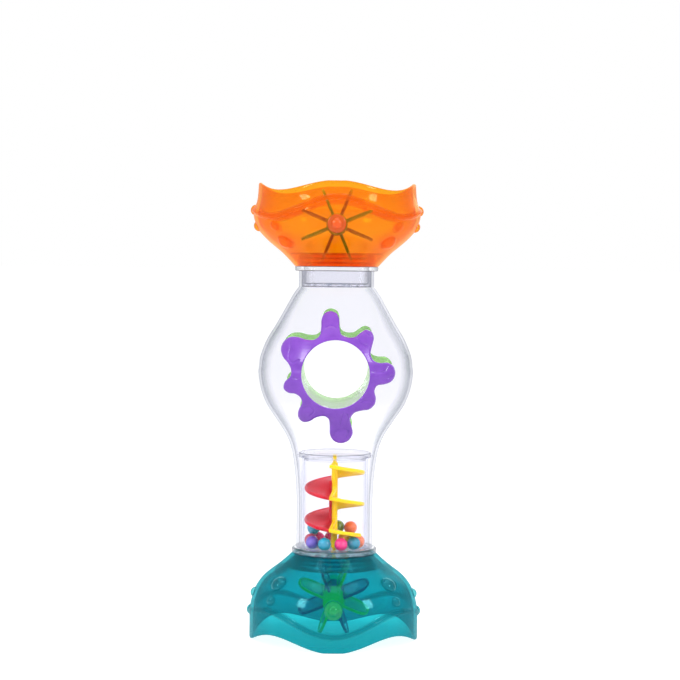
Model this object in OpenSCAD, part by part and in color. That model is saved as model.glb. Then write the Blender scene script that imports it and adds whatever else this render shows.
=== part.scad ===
// Hourglass water toy: two scalloped cups with paddle wheels, joined by a clear bulb,
// with a finger tunnel through the bulb and a sealed rain chamber in the stem below it.
// +Z is up, the mouth of the lower cup stands on z = 0, and the tunnel and axles lie along Y.

/* [Cups] */
// Height of the lower cup, from its rim tips to the seat under the stem
lower_cup_h = 42.7; // [38:0.1:50]
// Largest radius of the lower cup
lower_cup_r = 42.2; // [38:0.1:48]
// Depth of the scallops in the lower rim
lower_wave = 6.4; // [3:0.1:8]
// Height of the upper cup, from its seat to its rim tips
upper_cup_h = 41.2; // [38:0.1:50]
// Largest radius of the upper cup
upper_cup_r = 41.8; // [38:0.1:48]
// Depth of the scallops in the upper rim
upper_wave = 4.4; // [3:0.1:8]
// Wall of both cups
cup_wall = 1.8; // [1.2:0.1:2.4]
// Height of the raised ridge line that runs round each cup
ridge_h = 1.8; // [1:0.1:3]
// How far the ridge line stands out
ridge_out = 0.9; // [0.4:0.1:1.5]
// Radius of the small round nubs on each cup
nub_r = 2.5; // [1.8:0.05:2.8]
// How far the small nubs stand out
nub_out = 1.5; // [1:0.05:1.6]
// Radius of the larger nubs nearer the stem
big_nub_r = 4.2; // [3:0.1:4.6]
// How far the larger nubs stand out
big_nub_out = 2.2; // [1.4:0.1:2.6]

/* [Clear body] */
// Height of the stem's lower end above its flange
stem_h = 23; // [18:0.5:30]
// Outer radius of the stem
stem_r = 19.1; // [18.9:0.1:21]
// Height from the end of the straight stem to the widest part of the bulb
bulb_low_h = 64; // [56:0.5:72]
// Height from the widest part of the bulb to the neck
bulb_high_h = 43.1; // [38:0.1:50]
// Largest outer radius of the bulb
bulb_r = 38.7; // [36:0.1:42]
// Outer radius of the neck
neck_r = 18.8; // [18.4:0.1:20]
// Height of the straight neck
neck_h = 7.9; // [6:0.1:12]
// Wall of the clear body
body_wall = 1.3; // [1:0.05:1.8]
// Thickness of the flange that the stem stands on
flange_h = 3.3; // [2.6:0.1:4.5]
// Radius of the flange
flange_r = 21.3; // [20.5:0.1:24]
// Thickness of the strainer's flange
strainer_flange_h = 2.4; // [1.6:0.1:3.5]
// Thickness of the strainer's slotted floor
strainer_floor = 1.4; // [1:0.1:2]

/* [Finger tunnel] */
// Bore that a finger goes through
tunnel_d = 33; // [28:0.5:34]
// Height of the tunnel's axis above the widest part of the bulb
tunnel_up = 1.4; // [0:0.1:3]
// Wall of the clear tunnel tube
tunnel_wall = 1.2; // [0.8:0.1:1.8]
// Thickness of the splash shaped trims round the tunnel's ends
splash_t = 2; // [1.4:0.1:3]

/* [Rain chamber] */
// Outer radius of the sealed chamber
chamber_r = 16.7; // [16:0.05:16.8]
// Wall of the chamber
chamber_wall = 1; // [0.8:0.05:1.2]
// Height of the chamber's tube
chamber_h = 45; // [43:0.5:50]
// Thickness of the chamber's cap
cap_h = 2.4; // [1.8:0.1:3.5]
// Radius of the spiral's blades
spiral_r = 15.1; // [13:0.1:15.2]
// Room between the end of the lowest red blade and the beads under it
blade_room = 3.2; // [3.1:0.1:6]
// Height of the struts that brace the front ends of the blades
strut_h = 4; // [3:0.1:5]
// Thickness of the spiral's blades
blade_t = 1.3; // [0.9:0.1:1.8]
// Radius of the spiral's post
post_r = 1.6; // [1.2:0.1:2.2]
// Radius of the pin at each end of the post
pin_r = 0.9; // [0.6:0.05:1.1]
// Diameter of the beads
bead_d = 6.6; // [5.5:0.1:6.7]

/* [Paddle wheels] */
// Height of each wheel's axle above or below the tips of its cup's rim
axle_z = 20.6; // [20:0.1:23]
// Radius of the paddle tips
wheel_r = 19.2; // [16:0.1:19.4]
// Half the width of a paddle, along the axle
paddle_half_w = 17.4; // [9:0.1:17.4]
// Thickness of a paddle
paddle_t = 1.3; // [1:0.1:2]
// Radius of the hub
hub_r = 5.2; // [4.2:0.1:6]
// Half the length of the whole hub
hub_half_l = 22.5; // [18:0.5:26]
// Radius of the axle pin
axle_r = 2; // [1.5:0.1:2.4]
// Outer radius of the boss that holds an axle end
boss_r = 4.5; // [4:0.1:5.5]

/* [Fits] */
// Radial clearance of a pin that turns in its socket
run_fit = 0.08; // [0.03:0.01:0.1]
// Clearance between glued or clipped pieces
glue_fit = 0.05; // [0.02:0.01:0.12]
// Gap between the wheels or the beads and what stays still
free_gap = 0.3; // [0.2:0.05:0.5]

/* [Hidden] */

$fn = 96;
cut_over = cup_wall / 2;

// Heights of the stack, from the floor up
flange_z = lower_cup_h;
stem_z = flange_z + flange_h;
bulb_low_z = stem_z + stem_h;
bulb_z = bulb_low_z + bulb_low_h;
neck_z = bulb_z + bulb_high_h;
neck_top_z = neck_z + neck_h;
upper_seat_z = neck_top_z + strainer_flange_h;
top_z = upper_seat_z + upper_cup_h;
chamber_z = stem_z - glue_fit;
cap_z = chamber_z + chamber_h;
tunnel_z = bulb_z + tunnel_up;
// Length of a cut through the whole bulb, in radii of the bulb
through_share = 3;
through_h = through_share * bulb_r;

// Profiles in shares: height from the seat to the rim, then radius
lower_shares = [
  [0, 0.500], [0.101, 0.612], [0.171, 0.701], [0.230, 0.781], [0.290, 0.848],
  [0.361, 0.903], [0.431, 0.940], [0.562, 0.982], [0.680, 1], [0.800, 1], [1, 1]
];
upper_shares = [
  [0, 0.498], [0.153, 0.641], [0.282, 0.794], [0.380, 0.893], [0.451, 0.945],
  [0.550, 0.984], [0.650, 1], [0.700, 0.985], [0.760, 0.960], [0.850, 0.945], [1, 0.936]
];
// Shares of the way from the stem or neck to the bulb: height, then radius
bulb_low_shares = [
  [0, 0], [0.192, 0.036], [0.381, 0.122], [0.506, 0.265],
  [0.631, 0.520], [0.758, 0.791], [0.883, 0.944], [1, 1]
];
bulb_high_shares = [
  [0.080, 0.985], [0.200, 0.950], [0.385, 0.794], [0.571, 0.553],
  [0.775, 0.305], [0.900, 0.155], [0.965, 0.060], [1, 0]
];

// Outline of the splash trim, seen from the front, counterclockwise from the right:
// knots from the tunnel's axis, right and up, in shares of the tunnel's bore
splash_shares = [
  [0.879, -0.006], [0.858, 0.103], [0.776, 0.167], [0.652, 0.170], [0.558, 0.206],
  [0.509, 0.303], [0.533, 0.424], [0.558, 0.533], [0.521, 0.624], [0.433, 0.648],
  [0.345, 0.594], [0.273, 0.545], [0.164, 0.542], [0.079, 0.588], [0.052, 0.697],
  [0.045, 0.806], [0.006, 0.885], [-0.082, 0.918], [-0.170, 0.885], [-0.212, 0.797],
  [-0.218, 0.667], [-0.239, 0.564], [-0.321, 0.503], [-0.436, 0.503], [-0.564, 0.536],
  [-0.685, 0.527], [-0.776, 0.455], [-0.809, 0.352], [-0.776, 0.242], [-0.697, 0.152],
  [-0.652, 0.055], [-0.667, -0.042], [-0.745, -0.127], [-0.761, -0.224], [-0.691, -0.282],
  [-0.588, -0.294], [-0.512, -0.345], [-0.491, -0.430], [-0.542, -0.552], [-0.542, -0.652],
  [-0.476, -0.718], [-0.376, -0.703], [-0.285, -0.642], [-0.170, -0.615], [-0.094, -0.664],
  [-0.079, -0.776], [-0.076, -0.897], [-0.021, -0.994], [0.091, -1.036], [0.209, -0.988],
  [0.261, -0.885], [0.242, -0.770], [0.221, -0.664], [0.279, -0.567], [0.391, -0.530],
  [0.497, -0.515], [0.576, -0.442], [0.594, -0.345], [0.573, -0.242], [0.612, -0.161],
  [0.727, -0.142], [0.827, -0.103]
];

// A smooth curve through points, with n steps between two of them
function knot(p, i) = p[max(0, min(len(p) - 1, i))];
function curve_at(a, b, c, d, t) =
  0.5 * ((2 * b) + (c - a) * t + (2 * a - 5 * b + 4 * c - d) * t * t
    + (3 * b - a - 3 * c + d) * t * t * t);
function curve(p, n) = concat(
  [for (i = [0:len(p) - 2]) for (k = [0:n - 1])
    curve_at(knot(p, i - 1), p[i], p[i + 1], knot(p, i + 2), k / n)],
  [p[len(p) - 1]]
);

// The same curve moved by d to its left, seen along its run
function way(p, i) = knot(p, i + 1) - knot(p, i - 1);
function moved(p, d) = [
  for (i = [0:len(p) - 1]) p[i] + d * [-way(p, i)[1], way(p, i)[0]] / norm(way(p, i))
];
function back(p) = [for (i = [len(p) - 1:-1:0]) p[i]];
// A smooth closed curve through points
function ring_knot(p, i) = p[(i + len(p)) % len(p)];
function closed_curve(p, n) = [for (i = [0:len(p) - 1]) for (k = [0:n - 1])
  curve_at(ring_knot(p, i - 1), p[i], ring_knot(p, i + 1), ring_knot(p, i + 2), k / n)];

// Outer curve of a cup, radius and height above its seat
function cup_curve(shares, r, h) = curve([for (s = shares) [s[1] * r, s[0] * h]], 3);
lower_curve = cup_curve(lower_shares, lower_cup_r, lower_cup_h);
upper_curve = cup_curve(upper_shares, upper_cup_r, upper_cup_h);
function cup_r_at(c, h) = lookup(h, [for (p = c) [p[1], p[0]]]);
function cup_inside(c) = moved(c, cup_wall);

// Heights of the rim and of the ridge line, measured from the rim tips, at an angle from the front
foot_share = 0.06;
function rim_h(a, wave) = max(0, wave * ((1 - cos(4 * a)) / 2 - foot_share));
ridge_mean_share = 0.330;
ridge_side_share = 0.068;
ridge_lobe_share = 0.075;
function ridge_z(a, h) = h * (ridge_mean_share - ridge_side_share * cos(2 * a)
  - ridge_lobe_share * cos(4 * a));

// Outer curve of the clear body, radius and height
body_outer = concat(
  [[stem_r, stem_z]],
  curve([for (s = concat(
    [for (s = bulb_low_shares)
      [stem_r + s[1] * (bulb_r - stem_r), bulb_low_z + s[0] * bulb_low_h]],
    [for (s = bulb_high_shares)
      [neck_r + s[1] * (bulb_r - neck_r), bulb_z + s[0] * bulb_high_h]]
  )) s], 3),
  [[neck_r, neck_top_z]]
);
body_inner = moved(body_outer, body_wall);
function body_r_at(z) = lookup(z, [for (p = body_outer) [p[1], p[0]]]);
function body_in_r_at(z) = lookup(z, [for (p = body_inner) [p[1], p[0]]]);

tunnel_r = tunnel_d / 2;
tunnel_out_r = tunnel_r + tunnel_wall;
// Turn of a bore about its own axis, which keeps its seam off the rings of the body
seam_turn = 40;

// A wavy sheet of height lift to lift + tall, cut from one quarter of a cup
wave_steps = 14;
module wave_quarter(quarter, r, heights, lift, tall) {
  start = quarter * 90;
  low = [for (i = [0:wave_steps]) let (b = -45 + 90 * i / wave_steps)
    [r * sin(b), heights[quarter * wave_steps + i] + lift]];
  high = [for (i = [wave_steps:-1:0]) let (b = -45 + 90 * i / wave_steps)
    [r * sin(b), heights[quarter * wave_steps + i] + lift + tall]];
  rotate([0, 0, start + 45])
    rotate([90, 0, 0])
      translate([0, 0, r / 2])
        linear_extrude(height = r)
          polygon(concat(low, high));
}
function all_angles() = [for (i = [0:4 * wave_steps]) 90 * i / wave_steps];

// A cup standing on its rim tips, its seat at height h. The front of the cup is at -Y.
module cup_shell(c, r, h, wave) {
  rims = [for (a = all_angles()) rim_h(a, wave)];
  ridges = [for (a = all_angles()) ridge_z(a, h)];
  outer = [for (p = c) [p[0], h - p[1]]];
  inner = moved(outer, -cup_wall);
  mouth_in = outer[len(outer) - 1][0] - cup_wall;
  seat_in = inner[0][0];
  difference() {
    union() {
      rotate_extrude()
        polygon(concat(outer, [[mouth_in, 0]],
          back([for (p = inner) if (p[1] > 0 && p[1] < h) p]), [[seat_in, h]]));
      for (q = [0:3])
        intersection() {
          rotate_extrude()
            polygon(concat(moved(outer, ridge_out), back(moved(outer, -cup_wall / 2))));
          wave_quarter(q, r, ridges, -ridge_h / 2, ridge_h);
        }
    }
    for (q = [0:3])
      wave_quarter(q, r, rims, -wave - ridge_h, wave + ridge_h);
  }
}

// How far the wall leans back from upright, at a height above the seat
function lean_at(c, h) = atan(
  (cup_r_at(c, h + cup_wall) - cup_r_at(c, h - cup_wall)) / (2 * cup_wall));

// A round nub with its foot in the wall, square to the wall
module nub(r, out) {
  ball = (r * r + out * out) / (2 * out);
  intersection() {
    translate([0, 0, out - ball])
      sphere(r = ball);
    translate([0, 0, -cup_wall / 2])
      cylinder(r = r, h = cup_wall / 2 + out);
  }
}
// Nubs at angles from the front, in a row at a share of the cup's height above its rim tips
nub_angles = [50, 90, 130, -50, -90, -130];
big_nub_angles = [50, 130, -50, -130];
ridge_nub_angles = [90, -90];
nub_row_share = 0.532;
big_nub_row_share = 0.720;
ridge_nub_share = 0.323;
module nub_row(c, h, angles, row_share, r, out) {
  seat_h = h * (1 - row_share);
  for (a = angles)
    rotate([0, 0, a])
      translate([0, -cup_r_at(c, seat_h), h * row_share])
        rotate([90 - lean_at(c, seat_h), 0, 0])
          nub(r, out);
}
module cup_nubs(c, h) {
  nub_row(c, h, nub_angles, nub_row_share, nub_r, nub_out);
  nub_row(c, h, big_nub_angles, big_nub_row_share, big_nub_r, big_nub_out);
  nub_row(c, h, ridge_nub_angles, ridge_nub_share, nub_r, nub_out);
}

// The boss at each end of an axle: a round pad outside, a socket inside
boss_out = 1.2;
boss_in = 3.2;
ball_r = 3.3;
function wall_at_axle(c, h) = cup_r_at(c, h - axle_z);
function axle_end(c, h) = wall_at_axle(c, h) - cup_wall / 2;
module axle_bosses(c, h) {
  face = wall_at_axle(c, h);
  for (side = [0, 180])
    rotate([0, 0, side])
      translate([0, 0, axle_z])
        rotate([90, 0, 0]) {
          translate([0, 0, face - cup_wall - boss_in])
            cylinder(r = boss_r, h = cup_wall + boss_in + boss_out);
          translate([0, 0, face + boss_out - ball_r / 2])
            sphere(r = ball_r);
        }
}
module axle_sockets(c, h) {
  end = axle_end(c, h) + free_gap;
  translate([0, 0, axle_z])
    rotate([90, 0, 0])
      cylinder(r = axle_r + run_fit, h = 2 * end, center = true);
}

module whole_cup(c, r, h, wave) {
  difference() {
    union() {
      cup_shell(c, r, h, wave);
      cup_nubs(c, h);
      axle_bosses(c, h);
    }
    axle_sockets(c, h);
  }
}

module lower_cup() {
  color("#00A0AC", 0.75)
    whole_cup(lower_curve, lower_cup_r, lower_cup_h, lower_wave);
}

module upper_cup() {
  color("#FF8A00", 0.75)
    translate([0, 0, top_z])
      mirror([0, 0, 1])
        whole_cup(upper_curve, upper_cup_r, upper_cup_h, upper_wave);
}

// Clear body in two halves, glued along the plane y = 0
module housing_half(side) {
  difference() {
    rotate([0, 0, side])
      rotate_extrude(angle = 180)
        polygon(concat(body_outer, back(body_inner)));
    translate([0, 0, tunnel_z])
      rotate([90, 0, 0])
        rotate([0, 0, seam_turn])
          cylinder(r = tunnel_out_r + glue_fit, h = through_h, center = true);
  }
}
module housing_front() {
  color("#DCE6F0", 0.3)
    housing_half(180);
}
module housing_back() {
  color("#DCE6F0", 0.3)
    housing_half(0);
}

module finger_tunnel() {
  color("#DCE6F0", 0.4)
    intersection() {
      rotate_extrude()
        polygon(concat([[0, stem_z]], body_outer, [[0, neck_top_z]]));
      translate([0, 0, tunnel_z])
        rotate([90, 0, 0])
          difference() {
            rotate([0, 0, seam_turn])
              cylinder(r = tunnel_out_r, h = through_h, center = true);
            rotate([0, 0, seam_turn])
              cylinder(r = tunnel_r, h = through_h + 2 * cut_over, center = true);
          }
    }
}

// A splash trim follows the bulb, and its outline is cut along the tunnel's axis
splash_steps = 3;
module splash_ring(face) {
  band = concat(moved(body_outer, -splash_t), back(moved(body_outer, -glue_fit)));
  intersection() {
    rotate([0, 0, face])
      rotate_extrude(angle = 180)
        polygon(band);
    translate([0, 0, tunnel_z])
      rotate([90, 0, 0])
        linear_extrude(height = through_h, center = true)
          difference() {
            polygon(closed_curve(tunnel_d * splash_shares, splash_steps));
            circle(r = tunnel_r);
          }
  }
}
module splash_ring_front() {
  color("#9655D7")
    splash_ring(180);
}
module splash_ring_back() {
  color("#7DB35F")
    splash_ring(0);
}

// Arc shaped slots through a plate, n of them round a ring
slot_open_share = 0.62;
module ring_slots(n, r_in, r_out, h) {
  for (i = [0:n - 1])
    rotate([0, 0, 360 * i / n])
      rotate_extrude(angle = 360 / n * slot_open_share)
        translate([r_in, -cut_over])
          square([r_out - r_in, h + 2 * cut_over]);
}

strainer_r = neck_r - body_wall - glue_fit;
strainer_wall = 1.1;
strainer_slots = 8;
// Inner and outer edge of the two rings of slots, in shares of the strainer's radius
outer_slot_shares = [0.66, 0.86];
inner_slot_shares = [0.24, 0.44];
module strainer() {
  color("#DCE6F0", 0.4)
    difference() {
      union() {
        translate([0, 0, neck_z])
          cylinder(r = strainer_r, h = neck_h + strainer_flange_h);
        translate([0, 0, neck_top_z])
          cylinder(r = upper_shares[0][1] * upper_cup_r - glue_fit, h = strainer_flange_h);
      }
      translate([0, 0, neck_z + strainer_floor])
        cylinder(r = strainer_r - strainer_wall, h = neck_h + strainer_flange_h);
      translate([0, 0, neck_z])
        ring_slots(strainer_slots, strainer_r * outer_slot_shares[0],
          strainer_r * outer_slot_shares[1], strainer_floor);
      translate([0, 0, neck_z])
        ring_slots(strainer_slots / 2, strainer_r * inner_slot_shares[0],
          strainer_r * inner_slot_shares[1], strainer_floor);
    }
}

// A clip ring inside a cup's neck, with ribs that seat on the cup's wall
lock_h = 6.6;
lock_wall = 1.2;
rib_h = 1;
module lock_ring(c) {
  r_seat = cup_inside(c)[0][0] - free_gap;
  difference() {
    union() {
      cylinder(r = r_seat, h = lock_h);
      for (k = [1:2]) {
        rib_z = k * lock_h / 2 - rib_h;
        translate([0, 0, rib_z])
          cylinder(r = cup_r_at(cup_inside(c), rib_z) - free_gap, h = rib_h);
      }
    }
    translate([0, 0, -cut_over])
      cylinder(r = r_seat - lock_wall, h = lock_h + 2 * cut_over);
  }
}
module lower_lock_ring() {
  color("#0090A0", 0.8)
    translate([0, 0, flange_z])
      mirror([0, 0, 1])
        lock_ring(lower_curve);
}
module upper_lock_ring() {
  color("#F07A00", 0.8)
    translate([0, 0, upper_seat_z])
      lock_ring(upper_curve);
}

// The plate that the stem and the chamber stand on, with slots that let the water out
base_slots = 12;
floor_z = stem_z - flange_h / 3;
socket_h = 1.4;
socket_r = 2.2;
module base_flange() {
  color("#DCE6F0", 0.4)
    difference() {
      translate([0, 0, flange_z])
        cylinder(r = flange_r, h = flange_h - glue_fit);
      // The chamber's floor
      translate([0, 0, floor_z])
        cylinder(r = chamber_r - chamber_wall, h = flange_h);
      translate([0, 0, flange_z])
        ring_slots(base_slots, chamber_r + glue_fit, stem_r - body_wall, flange_h);
      translate([0, 0, floor_z - socket_h])
        cylinder(r = pin_r + run_fit, h = flange_h);
    }
}

module chamber_tube() {
  color("#DCE6F0", 0.35)
    translate([0, 0, chamber_z])
      difference() {
        cylinder(r = chamber_r, h = chamber_h);
        translate([0, 0, -cut_over])
          cylinder(r = chamber_r - chamber_wall, h = chamber_h + 2 * cut_over);
      }
}

cap_lugs = 6;
lug_w = 3;
// Depth of the upper pin's hole into the cap, in shares of the cap's thickness
pin_hole_share = 0.7;
lug_r = body_in_r_at(cap_z) - free_gap;
cap_r = chamber_r + (lug_r - chamber_r) / 2;
module chamber_cap() {
  color("#DCE6F0", 0.4)
    difference() {
      union() {
        translate([0, 0, cap_z])
          cylinder(r = cap_r, h = cap_h);
        for (i = [0:cap_lugs - 1])
          rotate([0, 0, 360 * i / cap_lugs])
            translate([0, -lug_w / 2, cap_z])
              cube([lug_r - body_wall / 2, lug_w, cap_h / 2]);
        translate([0, 0, cap_z - socket_h])
          cylinder(r = socket_r, h = socket_h + cap_h);
        translate([0, 0, cap_z - socket_h])
          difference() {
            cylinder(r = chamber_r - chamber_wall - glue_fit, h = socket_h + cap_h / 2);
            translate([0, 0, -cut_over])
              cylinder(r = chamber_r - 2 * chamber_wall - glue_fit, h = socket_h + cut_over);
          }
      }
      translate([0, 0, cap_z - socket_h - cut_over])
        cylinder(r = pin_r + run_fit, h = socket_h + cut_over + cap_h * pin_hole_share);
    }
}

// Half a wheel: its end of the hub and four paddles, the first at angle first
module wheel_half(first, front) {
  slot_gap = free_gap / 2;
  rotate([90, 0, 0])
    difference() {
      union() {
        translate([0, 0, front ? slot_gap / 2 : -hub_half_l])
          cylinder(r = hub_r, h = hub_half_l - slot_gap / 2);
        for (i = [0:3])
          rotate([0, 0, first + 90 * i])
            rotate([90, 0, 0])
              linear_extrude(height = paddle_t, center = true)
                petal();
      }
      cylinder(r = axle_r + glue_fit, h = 2 * (hub_half_l + cut_over), center = true);
      // The paddles clear the other half's end of the hub
      translate([0, 0, front ? -hub_half_l : slot_gap / -2])
        cylinder(r = hub_r + slot_gap, h = hub_half_l + slot_gap / 2);
    }
}

// Outline of a paddle: radius along x, place along the axle along y
petal_shares = [
  [0.20, 1], [0.50, 1], [0.70, 0.975], [0.80, 0.90], [0.88, 0.765], [0.95, 0.50], [0.99, 0.21]
];
module petal() {
  side = curve([for (s = petal_shares) [s[0] * wheel_r, s[1] * paddle_half_w]], 4);
  polygon(concat(
    [[axle_r, -side[0][1]]],
    [for (p = side) [p[0], -p[1]]],
    [[wheel_r, 0]],
    back(side),
    [[axle_r, side[0][1]]]
  ));
}

first_paddle = 22.5;
next_paddle = 67.5;
module wheel_pin(c, h) {
  half = axle_end(c, h);
  rotate([90, 0, 0])
    cylinder(r = axle_r, h = 2 * half, center = true);
}
module at_upper_wheel() {
  translate([0, 0, top_z - axle_z])
    children();
}
module at_lower_wheel() {
  translate([0, 0, axle_z])
    children();
}
module upper_wheel_green() {
  color("#1FD84A", 0.85)
    at_upper_wheel()
      wheel_half(first_paddle, true);
}
module upper_wheel_purple() {
  color("#6E4C96", 0.85)
    at_upper_wheel()
      wheel_half(next_paddle, false);
}
module upper_axle_pin() {
  color("#E8E8E8")
    at_upper_wheel()
      wheel_pin(upper_curve, upper_cup_h);
}
module lower_wheel_green() {
  color("#1FD84A", 0.85)
    at_lower_wheel()
      wheel_half(next_paddle, true);
}
module lower_wheel_purple() {
  color("#6E4C96", 0.85)
    at_lower_wheel()
      wheel_half(first_paddle, false);
}
module lower_axle_pin() {
  color("#E8E8E8")
    at_lower_wheel()
      wheel_pin(lower_curve, lower_cup_h);
}

// The spiral falls counterclockwise seen from above. Its blades start a little left of the front.
spiral_start = -100;
post_gap_share = 0.85;
spiral_top_z = cap_z - socket_h - post_gap_share * post_r;
// Two turns end above the lowest layer of beads
bead_top_z = floor_z + free_gap + bead_d;
spiral_pitch = (spiral_top_z - blade_t - blade_room - bead_top_z) / 2;
blade_step = 10;
function blade_ring(a, z, r_in, r_out) = [
  [r_in * cos(a), r_in * sin(a), z],
  [r_out * cos(a), r_out * sin(a), z],
  [r_out * cos(a), r_out * sin(a), z - blade_t],
  [r_in * cos(a), r_in * sin(a), z - blade_t]
];
// One piece of blade, falling from top_z over an angle of turn
module blade(top_z, start, turn, r_in) {
  n = ceil(turn / blade_step);
  points = [for (i = [0:n]) each blade_ring(start + turn * i / n,
    top_z - spiral_pitch * turn / 360 * i / n, r_in, spiral_r)];
  walls = [for (i = [0:n - 1]) for (k = [0:3])
    each let (a = 4 * i + k, b = 4 * i + (k + 1) % 4)
      [[a, a + 4, b + 4], [a, b + 4, b]]];
  ends = [[0, 1, 2, 3], [4 * n + 3, 4 * n + 2, 4 * n + 1, 4 * n]];
  polyhedron(points = points, faces = concat(walls, ends));
}
post_low_z = floor_z + free_gap;
pin_low_z = floor_z - socket_h + free_gap;
last_turn = 74;
// A strut in the plane of a blade's front end, from the post down to the blade's rim
module strut(low_z) {
  rotate([90, 0, spiral_start])
    translate([0, low_z, -blade_t])
      linear_extrude(height = blade_t)
        polygon([
          [0, strut_h], [0, strut_h - blade_t], [spiral_r - 2 * blade_t, -blade_t / 2],
          [spiral_r - blade_t / 2, -blade_t / 2], [spiral_r - blade_t / 2, blade_t / 4]
        ]);
}
module spiral_yellow() {
  color("#FFD23C")
    union() {
      for (k = [0:1])
        blade(spiral_top_z - k * spiral_pitch, spiral_start, 180, post_r / 2);
      blade(spiral_top_z - 2 * spiral_pitch, spiral_start, last_turn, post_r / 2);
      for (k = [1:2])
        strut(spiral_top_z - k * spiral_pitch);
      translate([0, 0, post_low_z])
        cylinder(r = post_r, h = spiral_top_z - post_low_z);
      translate([0, 0, pin_low_z])
        cylinder(r = pin_r, h = cap_z + cap_h / 2 - pin_low_z);
    }
}

// The red blades hang on a strip that lies along the left side of the post
strip_t = 1.1;
strip_angle = 100;
module spiral_red() {
  strip_low_z = spiral_top_z - 2 * spiral_pitch - blade_t;
  color("#D6404C")
    union() {
      for (k = [0:1])
        blade(spiral_top_z - (k + 0.5) * spiral_pitch, spiral_start + 180, 180,
          post_r + strip_t / 2);
      translate([0, 0, strip_low_z])
        rotate([0, 0, spiral_start - 90 - strip_angle / 2])
          rotate_extrude(angle = strip_angle)
            translate([post_r + glue_fit, 0])
              square([strip_t, spiral_top_z - strip_low_z - blade_t - spiral_pitch / 2]);
    }
}

// Beads: angle seen from above, counted from +X, share of the free radius, layer from the floor
bead_r = bead_d / 2;
bead_ring_r = chamber_r - chamber_wall - bead_r - free_gap;
layer_share = 0.85;
module beads(places) {
  for (p = places)
    translate([
      p[1] * bead_ring_r * cos(p[0]),
      p[1] * bead_ring_r * sin(p[0]),
      floor_z + free_gap + bead_r + p[2] * layer_share * bead_d
    ])
      sphere(r = bead_r, $fn = 48);
}
purple_shares = [[206, 1, 0]];
blue_shares = [[247, 1, 0], [149, 1, 1]];
pink_shares = [[286.5, 1, 0], [132, 1, 0]];
teal_shares = [[324, 1, 0]];
orange_shares = [[357.5, 1, 0], [47, 1, 1]];
crimson_shares = [[166, 1, 0], [98, 1, 0]];
olive_shares = [[81, 1, 1], [30, 1, 0]];
yellow_shares = [[64, 1, 0]];
module beads_purple() {
  color("#7460C0")
    beads(purple_shares);
}
module beads_blue() {
  color("#00A9C5")
    beads(blue_shares);
}
module beads_pink() {
  color("#F0479B")
    beads(pink_shares);
}
module beads_teal() {
  color("#2C9FB0")
    beads(teal_shares);
}
module beads_orange() {
  color("#F98A55")
    beads(orange_shares);
}
module beads_crimson() {
  color("#B8355F")
    beads(crimson_shares);
}
module beads_olive() {
  color("#7C9B3C")
    beads(olive_shares);
}
module beads_yellow() {
  color("#E8A822")
    beads(yellow_shares);
}

upper_cup();
lower_cup();
housing_front();
housing_back();
finger_tunnel();
splash_ring_front();
splash_ring_back();
strainer();
upper_lock_ring();
lower_lock_ring();
base_flange();
chamber_tube();
chamber_cap();
upper_wheel_green();
upper_wheel_purple();
upper_axle_pin();
lower_wheel_green();
lower_wheel_purple();
lower_axle_pin();
spiral_yellow();
spiral_red();
beads_purple();
beads_blue();
beads_pink();
beads_teal();
beads_orange();
beads_crimson();
beads_olive();
beads_yellow();
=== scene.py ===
import math

import bmesh
import bpy
from mathutils import Matrix, Vector, kdtree


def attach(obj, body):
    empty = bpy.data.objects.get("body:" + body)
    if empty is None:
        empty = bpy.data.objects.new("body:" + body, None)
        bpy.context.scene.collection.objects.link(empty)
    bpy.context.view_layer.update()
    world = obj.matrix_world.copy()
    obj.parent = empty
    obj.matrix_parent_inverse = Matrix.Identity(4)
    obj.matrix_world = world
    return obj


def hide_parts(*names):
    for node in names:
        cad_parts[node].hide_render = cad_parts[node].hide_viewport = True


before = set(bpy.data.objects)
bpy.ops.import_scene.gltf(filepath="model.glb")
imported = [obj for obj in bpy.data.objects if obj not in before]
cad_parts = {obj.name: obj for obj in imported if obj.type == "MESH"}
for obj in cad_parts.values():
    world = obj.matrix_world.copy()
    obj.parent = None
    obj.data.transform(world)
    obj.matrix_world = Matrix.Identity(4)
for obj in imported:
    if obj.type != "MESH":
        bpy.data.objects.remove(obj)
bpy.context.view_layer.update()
mm = 0.001


# Small tools that every piece uses

def hexColor(code, alpha=1.0):
    # sRGB hex to linear, which the shaders expect
    parts = [int(code[i:i + 2], 16) / 255 for i in (1, 3, 5)]
    return [c / 12.92 if c <= 0.04045 else ((c + 0.055) / 1.055) ** 2.4 for c in parts] + [alpha]


def addNode(tree, kind, links=None, **settings):
    # links: input name -> output socket; settings: a property, or an input's value
    node = tree.nodes.new(kind)
    for key, value in settings.items():
        if key in node.inputs:
            node.inputs[key].default_value = value
        else:
            setattr(node, key, value)
    for key, source in (links or {}).items():
        tree.links.new(source, node.inputs[key])
    return node


def smoothCurve(points, steps):
    # Catmull-Rom curve through the points
    out = []
    last = len(points) - 1
    for i in range(last):
        a, b, c, d = (Vector(points[max(0, min(last, k))]) for k in (i - 1, i, i + 1, i + 2))
        for k in range(steps):
            t = k / steps
            out.append(0.5 * ((2 * b) + (c - a) * t + (2 * a - 5 * b + 4 * c - d) * t * t
                              + (3 * b - a - 3 * c + d) * t ** 3))
    out.append(Vector(points[last]))
    return out


def movedCurve(points, distance):
    # the curve moved to its left
    out = []
    last = len(points) - 1
    for i, point in enumerate(points):
        run = (points[min(last, i + 1)] - points[max(0, i - 1)]).normalized()
        out.append(point + distance * Vector((-run.y, run.x)))
    return out


def radiusAt(curve, height):
    # radius of a (radius, height) curve at a height, on a straight line between its points
    if height <= curve[0].y:
        return curve[0].x
    for a, b in zip(curve, curve[1:]):
        if a.y <= height <= b.y and b.y > a.y:
            return a.x + (b.x - a.x) * (height - a.y) / (b.y - a.y)
    return curve[-1].x


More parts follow.
